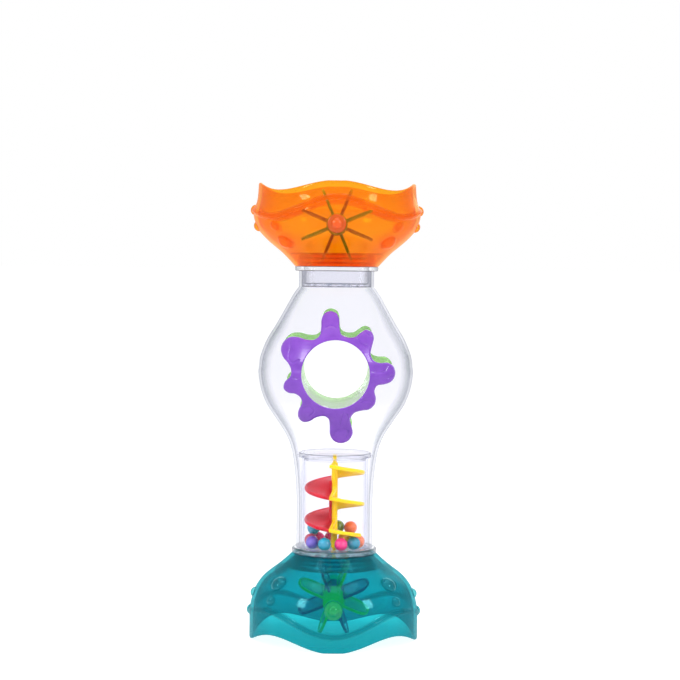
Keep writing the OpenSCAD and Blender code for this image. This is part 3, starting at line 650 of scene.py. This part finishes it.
def makeTunnel():
    # rows run along the tube outside and back inside; both ends follow the bulb
    stops = [-1, -.6, -.2, .2, .6, 1]
    rows = [(tunnel["bore"] + tunnel["wall"], s) for s in stops]
    rows += [(tunnel["bore"], s) for s in reversed(stops)]

    def place(row, turn):
        r, stop = rows[row]
        x, z = r * math.cos(turn), stack["tunnel"] + r * math.sin(turn)
        return x, stop * bulbDepth(x, z), z

    bm = wrappedGrid(len(rows), tunnel["steps"])
    placeGrid(bm, place)
    return finishPiece(toObject(bm, "tunnel_tube"), "body", clearTube,
                       ["finger_tunnel"])


splash = {
    "thick": 2.0, "round": 0.9, "holeRound": 0.5, "steps": 600, "rows": 44,
    # knots of the outline from the tunnel's axis, in millimetres, counterclockwise from the right
    "knots": [
        (29, -0.2), (28.3, 3.4), (25.6, 5.5), (21.5, 5.6), (18.4, 6.8), (16.8, 10),
        (17.6, 14), (18.4, 17.6), (17.2, 20.6), (14.3, 21.4), (11.4, 19.6), (9, 18),
        (5.4, 17.9), (2.6, 19.4), (1.7, 23), (1.5, 26.6), (0.2, 29.2), (-2.7, 30.3),
        (-5.6, 29.2), (-7, 26.3), (-7.2, 22), (-7.9, 18.6), (-10.6, 16.6), (-14.4, 16.6),
        (-18.6, 17.7), (-22.6, 17.4), (-25.6, 15), (-26.7, 11.6), (-25.6, 8), (-23, 5),
        (-21.5, 1.8), (-22, -1.4), (-24.6, -4.2), (-25.1, -7.4), (-22.8, -9.3), (-19.4, -9.7),
        (-16.9, -11.4), (-16.2, -14.2), (-17.9, -18.2), (-17.9, -21.5), (-15.7, -23.7), (-12.4, -23.2),
        (-9.4, -21.2), (-5.6, -20.3), (-3.1, -21.9), (-2.6, -25.6), (-2.5, -29.6), (-0.7, -32.8),
        (3, -34.2), (6.9, -32.6), (8.6, -29.2), (8, -25.4), (7.3, -21.9), (9.2, -18.7),
        (12.9, -17.5), (16.4, -17), (19, -14.6), (19.6, -11.4), (18.9, -8), (20.2, -5.3),
        (24, -4.7), (27.3, -3.4)
    ],
    # fine grooves that draw drops and ripples on the splashes
    "groove": (0.30, 0.28),
    "grooves": [
        [(-21.9, 16.6), (-22.2, 11.7), (-22.6, 7.2), (-21.1, 5.6), (-19.6, 5.8), (-17.8, 6.9)],
        [(14.5, 20.4), (16.0, 18.9), (18.0, 17.9)], [(18.0, 17.0), (17.7, 15.3), (16.9, 12.6)],
        [(10.5, 17.0), (12.0, 15.0), (15.0, 13.6)],
        [(18.3, 2.0), (21.4, 1.1), (23.8, 1.7), (25.3, 4.2)], [(25.0, -2.2), (26.6, -1.2), (28.2, -0.5)],
        [(12.3, -13.3), (14.2, -12.5), (16.6, -12.4), (18.4, -12.8)],
        [(-0.2, -29.8), (0.2, -28.3), (2.7, -27.5), (5.2, -27.3), (6.4, -28.7), (5.4, -31.0)],
        [(2.2, -24.8), (3.0, -21.6), (3.8, -18.6)], [(5.6, -24.6), (6.1, -22.0), (6.0, -19.4)],
        [(-15.6, -16.2), (-13.2, -15.7), (-10.9, -16.7), (-10.4, -18.4), (-12.2, -20.4)],
        [(-22.6, -2.6), (-20.4, -1.9), (-18.2, -2.4)], [(-5.0, 22.4), (-2.6, 23.4), (-0.2, 22.6)],
    ],
}


def closedCurve(knots, steps):
    ring = [knots[-1]] + knots + knots[:2]
    out = []
    for i in range(1, len(ring) - 2):
        a, b, c, d = (Vector(ring[k]) for k in (i - 1, i, i + 1, i + 2))
        for k in range(steps):
            t = k / steps
            out.append(0.5 * ((2 * b) + (c - a) * t + (2 * a - 5 * b + 4 * c - d) * t * t
                              + (3 * b - a - 3 * c + d) * t ** 3))
    return out


def splashOutline():
    # points of the outline, closer together on the splashes, with the angle of each at the hole
    dense = closedCurve(splash["knots"], 16)
    angles = [math.atan2(p.y, p.x) for p in dense]
    start = angles.index(min(angles, key=abs))
    dense, angles = dense[start:] + dense[:start], angles[start:] + angles[:start]
    high, length, measure = angles[0], 0.0, []
    for i, point in enumerate(dense):
        while angles[i] < high - math.pi:
            angles[i] += math.tau
        high = angles[i] = max(high + 1e-4, angles[i])
        length += (point - dense[i - 1]).length if i else 0
        measure.append(length)
    total = length + (dense[0] - dense[-1]).length
    mixed = [0.5 * m / total + 0.5 * (a - angles[0]) / math.tau for m, a in zip(measure, angles)]
    out, at = [], 0
    for k in range(splash["steps"]):
        goal = k / splash["steps"]
        while at + 1 < len(mixed) and mixed[at + 1] <= goal:
            at += 1
        after = (at + 1) % len(dense)
        nextMixed = mixed[after] if after else 1.0
        nextAngle = angles[after] if after else angles[0] + math.tau
        t = (goal - mixed[at]) / max(1e-9, nextMixed - mixed[at])
        out.append((dense[at].lerp(dense[after], t), angles[at] + (nextAngle - angles[at]) * t))
    return out


def pointTree(points):
    tree = kdtree.KDTree(len(points))
    for i, point in enumerate(points):
        tree.insert((point.x, point.y, 0), i)
    tree.balance()
    return tree


def splashShape():
    # places of the front trim's points, row by row: over its face, then along its back
    s = splash
    outline = splashOutline()
    edgeTree = pointTree(closedCurve(s["knots"], 40))
    grooveTree = pointTree([p for line in s["grooves"] for p in smoothCurve(line, 24)])
    depth, width = s["groove"]
    across = [0.5 - 0.5 * math.cos(math.pi * k / s["rows"]) for k in range(s["rows"] + 1)]
    rows = [("top", f) for f in across] + [("back", f) for f in (1, .75, .5, .25, 0)]
    places = []
    for kind, f in rows:
        line = []
        for edge, angle in outline:
            hole = tunnel["bore"] * Vector((math.cos(angle), math.sin(angle)))
            x, z = hole.lerp(edge, f)
            lift = tunnel["glue"]
            if kind == "top":
                lift = s["thick"]
                for distance, soft in ((edgeTree.find((x, z, 0))[2], s["round"]),
                                       (math.hypot(x, z) - tunnel["bore"], s["holeRound"])):
                    if distance < soft:
                        lift -= soft - math.sqrt(max(0, soft ** 2 - (soft - distance) ** 2))
                lift -= depth * math.exp(-(grooveTree.find((x, z, 0))[2] / width) ** 2)
            z += stack["tunnel"]
            line.append((x, -bulbDepth(x, z, lift), z))
        places.append(line)
    return places


def makeSplash(name, places, side, material, node):
    steps = splash["steps"]

    def place(row, turn):
        x, y, z = places[row][round(turn / math.tau * steps) % steps]
        return x, -side * y, z

    bm = wrappedGrid(len(places), steps)
    placeGrid(bm, place)
    return finishPiece(toObject(bm, name), "body", material, [node], 50)


makeHousing()
makeTunnel()
splashPlaces = splashShape()
makeSplash("splash_trim_front", splashPlaces, -1, purpleTrim, "splash_ring_front")
makeSplash("splash_trim_back", splashPlaces, 1, greenTrim, "splash_ring_back")
print("clear body, tunnel and trims made")


# Strainer, flange, chamber and clip rings

def arcSlot(inner, outer, start, sweep, low, high):
    # a closed piece of ring that cuts one curved slot
    bm = bmesh.new()
    corners = [(inner, low), (outer, low), (outer, high), (inner, high)]
    face = bm.faces.new([bm.verts.new((r * mm, 0, z * mm)) for r, z in corners])
    geom = list(face.verts) + list(face.edges) + [face]
    bmesh.ops.rotate(bm, verts=bm.verts, cent=(0, 0, 0),
                     matrix=Matrix.Rotation(start, 3, "Z"))
    bmesh.ops.spin(bm, geom=geom, cent=(0, 0, 0), axis=(0, 0, 1), angle=sweep, steps=8)
    return bm


def slotCutter(count, share, inner, outer, low, high, name):
    joined = bmesh.new()
    for i in range(count):
        one = arcSlot(inner, outer, math.tau * i / count, math.tau / count * share, low, high)
        mesh = bpy.data.meshes.new("slot")
        one.to_mesh(mesh)
        one.free()
        joined.from_mesh(mesh)
        bpy.data.meshes.remove(mesh)
    return toObject(joined, name)


strainer = {"radius": 17.45, "wall": 1.1, "floor": 1.4, "flange": 20.77, "slots": 8, "share": .62}
flange = {"radius": 21.3, "top": 45.95, "low": 42.7, "floor": 44.9, "slots": 12}
chamber = {"radius": 16.7, "wall": 1.0, "low": 45.95, "top": 90.95, "cap": 2.4, "socket": 1.4,
           "pin": 0.98, "capRadius": 18.1, "lug": 19.4, "lugs": 6}


def makeStrainer():
    s = strainer
    low, top, wide = stack["neck"], stack["upperSeat"], s["flange"]
    inner = s["radius"] - s["wall"]
    profile = [(0, low), (s["radius"] - .3, low), (s["radius"], low + .3),
               (s["radius"], stack["neckTop"]), (wide - .3, stack["neckTop"]),
               (wide, stack["neckTop"] + .3), (wide, top - .3), (wide - .3, top),
               (inner + .3, top), (inner, top - .3), (inner, low + s["floor"] + .4),
               (inner - .4, low + s["floor"]), (0, low + s["floor"])]
    obj = toObject(spunProfile(profile, 144, closed=False), "neck_strainer")
    cutters = [slotCutter(s["slots"], s["share"], s["radius"] * .66, s["radius"] * .86,
                          low - 1, low + 3, "slots"),
               slotCutter(s["slots"] // 2, s["share"], s["radius"] * .24, s["radius"] * .44,
                          low - 1, low + 3, "slots")]
    joinShapes(obj, cutters, "DIFFERENCE")
    return finishPiece(obj, "body", clearFine, ["strainer"])


def makeFlange():
    f = flange
    inside = chamber["radius"] - chamber["wall"]
    pin = chamber["pin"]
    profile = [(0, f["low"]), (f["radius"] - .8, f["low"]), (f["radius"], f["low"] + .8),
               (f["radius"], f["top"] - .8), (f["radius"] - .8, f["top"]),
               (inside, f["top"]), (inside, f["floor"]), (pin, f["floor"]),
               (pin, f["floor"] - chamber["socket"]), (0, f["floor"] - chamber["socket"])]
    obj = toObject(spunProfile(profile, 144, closed=False), "stem_flange")
    cutter = slotCutter(f["slots"], strainer["share"], chamber["radius"] + .05, 17.8,
                        f["low"] - 1, f["top"] + 1, "slots")
    joinShapes(obj, [cutter], "DIFFERENCE")
    return finishPiece(obj, "body", clearFine, ["base_flange"])


def makeChamber():
    c = chamber
    inner = c["radius"] - c["wall"]
    tube = [(inner, c["low"]), (c["radius"], c["low"]), (c["radius"], c["top"]), (inner, c["top"])]
    tubeObj = toObject(spunProfile(tube, 144), "rain_chamber")
    finishPiece(tubeObj, "body", clearTube, ["chamber_tube"])
    low, top = c["top"], c["top"] + c["cap"]
    skirt = inner - .05
    cap = [(0, top), (c["capRadius"] - .4, top), (c["capRadius"], top - .4), (c["capRadius"], low),
           (skirt, low), (skirt, low - c["socket"]), (skirt - c["wall"], low - c["socket"]),
           (skirt - c["wall"], low), (2.2, low), (2.2, low - c["socket"]),
           (c["pin"], low - c["socket"]), (c["pin"], low + c["cap"] * .7), (0, low + c["cap"] * .7)]
    capObj = toObject(spunProfile(cap, 144, closed=False), "chamber_lid")
    lugs = []
    for i in range(c["lugs"]):
        lug = bmesh.new()
        bmesh.ops.create_cube(lug, size=1)
        bmesh.ops.scale(lug, verts=lug.verts, vec=(3 * mm, 3 * mm, 1.2 * mm))
        bmesh.ops.translate(lug, verts=lug.verts, vec=Vector((c["lug"] - 2.1, 0, low + .6)) * mm)
        bmesh.ops.rotate(lug, verts=lug.verts, cent=(0, 0, 0),
                         matrix=Matrix.Rotation(math.tau * i / c["lugs"], 3, "Z"))
        lugs.append(toObject(lug, "lug"))
    joinShapes(capObj, lugs, "UNION")
    return finishPiece(capObj, "body", clearFine, ["chamber_cap"])


def makeClipRing(name, cup, seat, up, material, node):
    height = cup["height"]
    curve = smoothCurve([(r * cup["radius"], h * height) for h, r in cup["shares"]], 5)
    inside = movedCurve(curve, cupDetail["wall"])
    base = inside[0].x - .3
    ribs = [2.3, 5.6]
    profile = [(base - 1.2, 0), (base, 0)]
    for rib in ribs:
        wide = radiusAt(inside, rib) - .35
        profile += [(base, rib), (wide - .2, rib), (wide, rib + .2), (wide, rib + .8),
                    (wide - .2, rib + 1), (base, rib + 1)]
    profile = profile[:-1] + [(base - 1.2, 6.6)]
    bm = spunProfile([(r, seat + up * z) for r, z in profile], 144)
    return finishPiece(toObject(bm, name), "body", material, [node])


makeStrainer()
makeFlange()
makeChamber()
makeClipRing("upper_clip_ring", upperCup, stack["upperSeat"], 1, orangeRing,
             "upper_lock_ring")
makeClipRing("lower_clip_ring", lowerCup, stack["lowerCup"], -1, tealRing,
             "lower_lock_ring")
print("chamber and rings made")


# Paddle wheels

wheel = {
    "radius": 19.2, "halfWidth": 17.4, "thick": 1.3, "hub": 5.2, "halfLength": 22.5, "bore": 2.05,
    "gap": 0.15, "pin": 2.0, "inset": 1.0, "sunk": 0.28,
    "petal": [(.20, 1), (.50, 1), (.70, .975), (.80, .90), (.88, .765), (.95, .50), (.99, .21)],
}


def petalBlade(angle, front):
    # a flat paddle with a raised rim; radius runs along X, the axle along Y. Its root lies in its
    # own hub, and the other half of it starts clear of the other hub
    w = wheel
    side = smoothCurve([(s * w["radius"], t * w["halfWidth"]) for s, t in w["petal"]], 5)
    root, clear, end = w["bore"] + .5, w["hub"] + w["gap"], -w["gap"] / 2 - .1
    outline = [(root, -side[0].y)] + [(p.x, -p.y) for p in side] + [(w["radius"], 0)]
    outline += [(p.x, p.y) for p in reversed(side) if p.x > clear + .2]
    outline += [(clear, side[0].y), (clear, end), (root, end)]
    bm = bmesh.new()
    face = bm.faces.new([bm.verts.new((x * mm, y * front * mm, -w["thick"] / 2 * mm))
                         for x, y in outline])
    made = bmesh.ops.extrude_face_region(bm, geom=[face])
    verts = [g for g in made["geom"] if isinstance(g, bmesh.types.BMVert)]
    bmesh.ops.translate(bm, verts=verts, vec=(0, 0, w["thick"] * mm))
    bmesh.ops.recalc_face_normals(bm, faces=bm.faces)
    flats = [f for f in bm.faces if abs(f.normal.z) > 0.9]
    for flat in flats:
        bmesh.ops.inset_region(bm, faces=[flat], thickness=.35 * mm, depth=0)
        bmesh.ops.inset_region(bm, faces=[flat], thickness=w["inset"] * mm, depth=0)
        bmesh.ops.inset_region(bm, faces=[flat], thickness=.3 * mm, depth=-w["sunk"] * mm)
    edges = [e for e in bm.edges if e.is_manifold and e.calc_face_angle(0) > 1.2
             and abs(abs(e.verts[0].co.z) - w["thick"] / 2 * mm) < 1e-7]
    bmesh.ops.bevel(bm, geom=edges, offset=.3 * mm, offset_type="OFFSET", affect="EDGES", segments=2,
                    profile=0.5, material=-1, clamp_overlap=True)
    turn = Matrix.Rotation(-angle, 3, "Y")
    bmesh.ops.rotate(bm, verts=bm.verts, cent=(0, 0, 0), matrix=turn)
    return bm


def makeWheelHalf(name, first, side, axleZ, body, material, node):
    w = wheel
    length, gap = w["halfLength"], w["gap"] / 2
    hub = [(w["bore"], gap), (w["hub"] - .3, gap), (w["hub"], gap + .3),
           (w["hub"], length - 1.6), (w["hub"] - .35, length - .6), (w["hub"] - 1.2, length),
           (w["bore"] + .4, length), (w["bore"], length - .4)]
    pieces = [toObject(spunProfile([(r, side * a) for r, a in hub], 64, "Y", (0, 0, 0)), "hub")]
    pieces += [toObject(petalBlade(math.radians(first + 90 * i), side), "paddle") for i in range(4)]
    obj = joinMeshes(pieces, name)
    for vert in obj.data.vertices:
        vert.co.z += axleZ * mm
    return finishPiece(obj, body, material, [node])


def makePin(name, cup, body, material, slotName, node):
    curve = smoothCurve([(r * cup["radius"], h * cup["height"]) for h, r in cup["shares"]], 5)
    half = radiusAt(curve, cup["height"] - cup["axle"]) - cupDetail["wall"] / 2
    r = wheel["pin"]
    profile = [(0, -half), (r - .4, -half), (r, -half + .4), (r, half - .4), (r - .4, half), (0, half)]
    axleZ = cup["foot"] + cup["up"] * cup["axle"]
    bm = spunProfile(profile, 40, "Y", (0, 0, axleZ), closed=False)
    return finishPiece(toObject(bm, name), body, material, [node])


# the lower pin carries the glow of the green hub to the bosses, the upper one is white;
# the upper wheel stands in orange light, and its darker body colours are painted shade for it
for place, cup, greenFirst, purpleFirst, pinLook, paintedShade in (
        ("upper", upperCup, 22.5, 67.5, (whitePin, "axle_white"),
         ({"body": "#48A028"}, {"body": "#984878"})),
        ("lower", lowerCup, 67.5, 22.5, (greenPin, "wheel_green"), ({}, {}))):
    axleZ = cup["foot"] + cup["up"] * cup["axle"]
    wheelGreen = seeThroughPlastic(place + "_wheel_green_styrene",
                                   {**finishes["wheelGreen"], "axle": axleZ, **paintedShade[0]}, paddleRim)
    wheelPurple = seeThroughPlastic(place + "_wheel_purple_styrene",
                                    {**finishes["wheelPurple"], "axle": axleZ, **paintedShade[1]}, paddleRim)
    makeWheelHalf(place + "_paddles_front", greenFirst, 1, axleZ, place + "_wheel", wheelGreen,
                  place + "_wheel_green")
    makeWheelHalf(place + "_paddles_rear", purpleFirst, -1, axleZ, place + "_wheel", wheelPurple,
                  place + "_wheel_purple")
    makePin(place + "_axle", cup, place + "_wheel", *pinLook, place + "_axle_pin")
print("wheels made")


# Spiral and beads in the sealed chamber

spiral = {
    "radius": 15.1, "pitch": 15.945, "thick": 1.1, "rim": 1.8, "rimWidth": 1.5, "post": 1.6, "pin": 0.9,
    "top": 88.19, "start": -100, "lastTurn": 74, "postLow": 45.2, "pinLow": 43.8, "pinTop": 92.15,
    "strip": 1.1, "stripAngle": 100, "strut": 4.0, "strutWidth": 1.3,
}


def helixBlade(bm, start, turn, top, inner):
    # the blade's section, with a thicker rim, wound down round Z
    s = spiral
    edge = s["radius"] - s["rimWidth"]
    t, rim = s["thick"], s["rim"]
    low = t + (rim - t) / 2
    section = [(inner, 0), (edge, 0), (edge + .25, -(t - rim) / 2), (s["radius"] - .35, -(t - rim) / 2),
               (s["radius"], -t * .25), (s["radius"], -t * .75), (s["radius"] - .35, -low),
               (edge + .25, -low), (edge, -t), (inner, -t)]
    a = math.radians(start)
    verts = [bm.verts.new((r * math.cos(a) * mm, r * math.sin(a) * mm, (top + z) * mm))
             for r, z in section]
    face = bm.faces.new(verts)
    steps = math.ceil(turn / 3)
    drop = -s["pitch"] * turn / 360 / steps * mm
    end = bmesh.ops.spin(bm, geom=verts + list(face.edges) + [face], cent=(0, 0, 0), axis=(0, 0, 1),
                         dvec=(0, 0, drop), angle=math.radians(turn), steps=steps)
    if face.is_valid and all(len(e.link_faces) > 2 for e in face.edges):
        bm.faces.remove(face)


def strutShape(bm, low):
    # a strut from the post down to the front end of a blade's rim
    s = spiral
    wide, t = s["radius"], s["strutWidth"]
    outline = [(0, s["strut"]), (0, s["strut"] - t), (wide - 2 * t, -t / 2), (wide - t / 2, -t / 2),
               (wide - t / 2, t / 4)]
    face = bm.faces.new([bm.verts.new((r * mm, 0, (low + z) * mm)) for r, z in outline])
    made = bmesh.ops.extrude_face_region(bm, geom=[face])
    moved = [g for g in made["geom"] if isinstance(g, bmesh.types.BMVert)]
    bmesh.ops.translate(bm, verts=moved, vec=(0, t * mm, 0))
    bmesh.ops.rotate(bm, verts=list(face.verts) + moved, cent=(0, 0, 0),
                     matrix=Matrix.Rotation(math.radians(s["start"]), 3, "Z"))


def makeSpiral():
    s = spiral
    post = [(0, s["pinLow"]), (s["pin"], s["pinLow"]), (s["pin"], s["postLow"]),
            (s["post"] - .2, s["postLow"]), (s["post"], s["postLow"] + .2), (s["post"], s["top"] - .4),
            (s["post"] - .4, s["top"]), (s["pin"], s["top"]), (s["pin"], s["pinTop"] - .3),
            (s["pin"] - .3, s["pinTop"]), (0, s["pinTop"])]
    bm = spunProfile(post, 48, closed=False)
    for k, turn in enumerate((180, 180, s["lastTurn"])):
        helixBlade(bm, s["start"], turn, s["top"] - k * s["pitch"], s["post"] / 2)
        if k:
            strutShape(bm, s["top"] - k * s["pitch"])
    finishPiece(toObject(bm, "spiral_yellow_blades"), "spiral", yellowSpiral,
                ["spiral_yellow"])
    low = s["top"] - 2 * s["pitch"] - s["thick"]
    high = s["top"] - s["thick"] - s["pitch"] / 2
    inner = s["post"] + .05
    middle, half = math.radians(s["start"] - 90), math.radians(s["stripAngle"] / 2)
    bm = arcSlot(inner, inner + s["strip"], middle - half, 2 * half, low, high)
    for k in (0, 1):
        helixBlade(bm, s["start"] + 180, 180, s["top"] - (k + .5) * s["pitch"], inner + s["strip"] / 2)
    finishPiece(toObject(bm, "spiral_red_blades"), "spiral", redSpiral, ["spiral_red"])


beadSet = {
    "radius": 3.3, "ring": 12.1, "floor": 44.9 + 0.3, "layer": 0.85 * 6.6,
    "colors": {
        "purple": ("#6A50C4", [(206, 0)]), "blue": ("#009CB4", [(247, 0), (149, 1)]),
        "pink": ("#F41E7C", [(286.5, 0), (132, 0)]), "teal": ("#1490A6", [(324, 0)]),
        "orange": ("#FF7630", [(357.5, 0), (47, 1)]), "crimson": ("#C02450", [(166, 0), (98, 0)]),
        "olive": ("#749E20", [(81, 1), (30, 0)]), "yellow": ("#F8AE10", [(64, 0)]),
    },
}


def makeBeads():
    b = beadSet
    for color, (code, places) in b["colors"].items():
        bm = bmesh.new()
        for angle, layer in places:
            ball = bmesh.ops.create_uvsphere(bm, u_segments=40, v_segments=24, radius=b["radius"] * mm)
            a = math.radians(angle)
            spot = (b["ring"] * math.cos(a), b["ring"] * math.sin(a),
                    b["floor"] + b["radius"] + layer * b["layer"])
            bmesh.ops.translate(bm, verts=ball["verts"], vec=Vector(spot) * mm)
        deep = "#" + "".join(f"{max(0, int(code[i:i + 2], 16) - 14):02X}" for i in (1, 3, 5))
        material = glossPlastic("bead_" + color, code, deep, 0.22, 3.0, coat=0.6, shine=0.5)
        finishPiece(toObject(bm, "bead_set_" + color), "spiral", material,
                    ["beads_" + color])


makeSpiral()
makeBeads()
print("spiral and beads made")


# Camera, floor and light

camera = {"distance": 943, "height": 189.1, "side": 2.0, "tilt": 2.4, "roll": 0.55, "lens": 99.9}


def makeCamera():
    c = camera
    data = bpy.data.cameras.new("camera")
    data.lens = c["lens"]
    data.sensor_width = 36
    data.clip_end = 50
    obj = bpy.data.objects.new("camera", data)
    bpy.context.scene.collection.objects.link(obj)
    obj.rotation_mode = "XYZ"
    turn = (Matrix.Rotation(math.radians(90 - c["tilt"]), 4, "X")
            @ Matrix.Rotation(math.radians(c["roll"]), 4, "Z"))
    obj.matrix_world = turn
    obj.location = (c["side"] * mm, -c["distance"] * mm, c["height"] * mm)
    bpy.context.scene.camera = obj


def seenDirectly(tree):
    # one for rays from the camera, a gloss or a clear wall, whose background is plain white
    light = addNode(tree, "ShaderNodeLightPath")
    both = addNode(tree, "ShaderNodeMath", {0: light.outputs["Is Camera Ray"],
                                            1: light.outputs["Is Transmission Ray"]}, operation="MAXIMUM")
    return addNode(tree, "ShaderNodeMath", {0: both.outputs[0], 1: light.outputs["Is Glossy Ray"]},
                   operation="MAXIMUM").outputs[0]


def makeFloor():
    bm = bmesh.new()
    bmesh.ops.create_grid(bm, x_segments=1, y_segments=1, size=40)
    floor = toObject(bm, "floor")
    material = bpy.data.materials.new("pale_paper")
    material.use_nodes = True
    tree = material.node_tree
    tree.nodes.clear()
    paper = addNode(tree, "ShaderNodeBsdfDiffuse", Color=hexColor("#D6D6D4"))
    strength = addNode(tree, "ShaderNodeMath", {0: seenDirectly(tree)}, operation="MULTIPLY")
    strength.inputs[1].default_value = 0.70
    white = addNode(tree, "ShaderNodeEmission", {"Strength": strength.outputs[0]},
                    Color=hexColor("#FFFFFF"))
    both = addNode(tree, "ShaderNodeAddShader", {0: paper.outputs[0], 1: white.outputs[0]})
    addNode(tree, "ShaderNodeOutputMaterial", {"Surface": both.outputs[0]})
    floor.data.materials.append(material)


def makeWorld():
    world = bpy.data.worlds.new("studio")
    bpy.context.scene.world = world
    world.use_nodes = True
    tree = world.node_tree
    tree.nodes.clear()
    room = addNode(tree, "ShaderNodeBackground", Color=hexColor("#F6F7FA"), Strength=0.58)
    white = addNode(tree, "ShaderNodeBackground", Color=hexColor("#FFFFFF"), Strength=1.0)
    mix = addNode(tree, "ShaderNodeMixShader", {0: seenDirectly(tree), 1: room.outputs[0],
                                                2: white.outputs[0]})
    addNode(tree, "ShaderNodeOutputWorld", {"Surface": mix.outputs[0]})


lamps = [
    # name, place in metres, size in metres, watts
    ("leftStrip", (-0.95, -0.85, 0.75), (0.28, 0.44), 5.5),
    ("rightStrip", (1.0, -0.75, 0.7), (0.26, 0.40), 4.5),
    ("topBox", (0.0, -0.2, 1.5), (1.2, 0.8), 6),
    ("backBox", (0.3, 1.2, 0.7), (1.2, 0.8), 3),
]


def makeLamps():
    for name, place, size, watts in lamps:
        data = bpy.data.lights.new(name, "AREA")
        data.shape = "RECTANGLE"
        data.size, data.size_y = size
        data.energy = watts
        obj = bpy.data.objects.new(name, data)
        obj.location = place
        aim = Vector((0, 0, 0.12)) - Vector(place)
        obj.rotation_mode = "QUATERNION"
        obj.rotation_quaternion = aim.to_track_quat("-Z", "Y")
        bpy.context.scene.collection.objects.link(obj)


makeCamera()
makeFloor()
makeWorld()
makeLamps()
bpy.context.scene.view_settings.view_transform = "Standard"
print("camera and light ready")
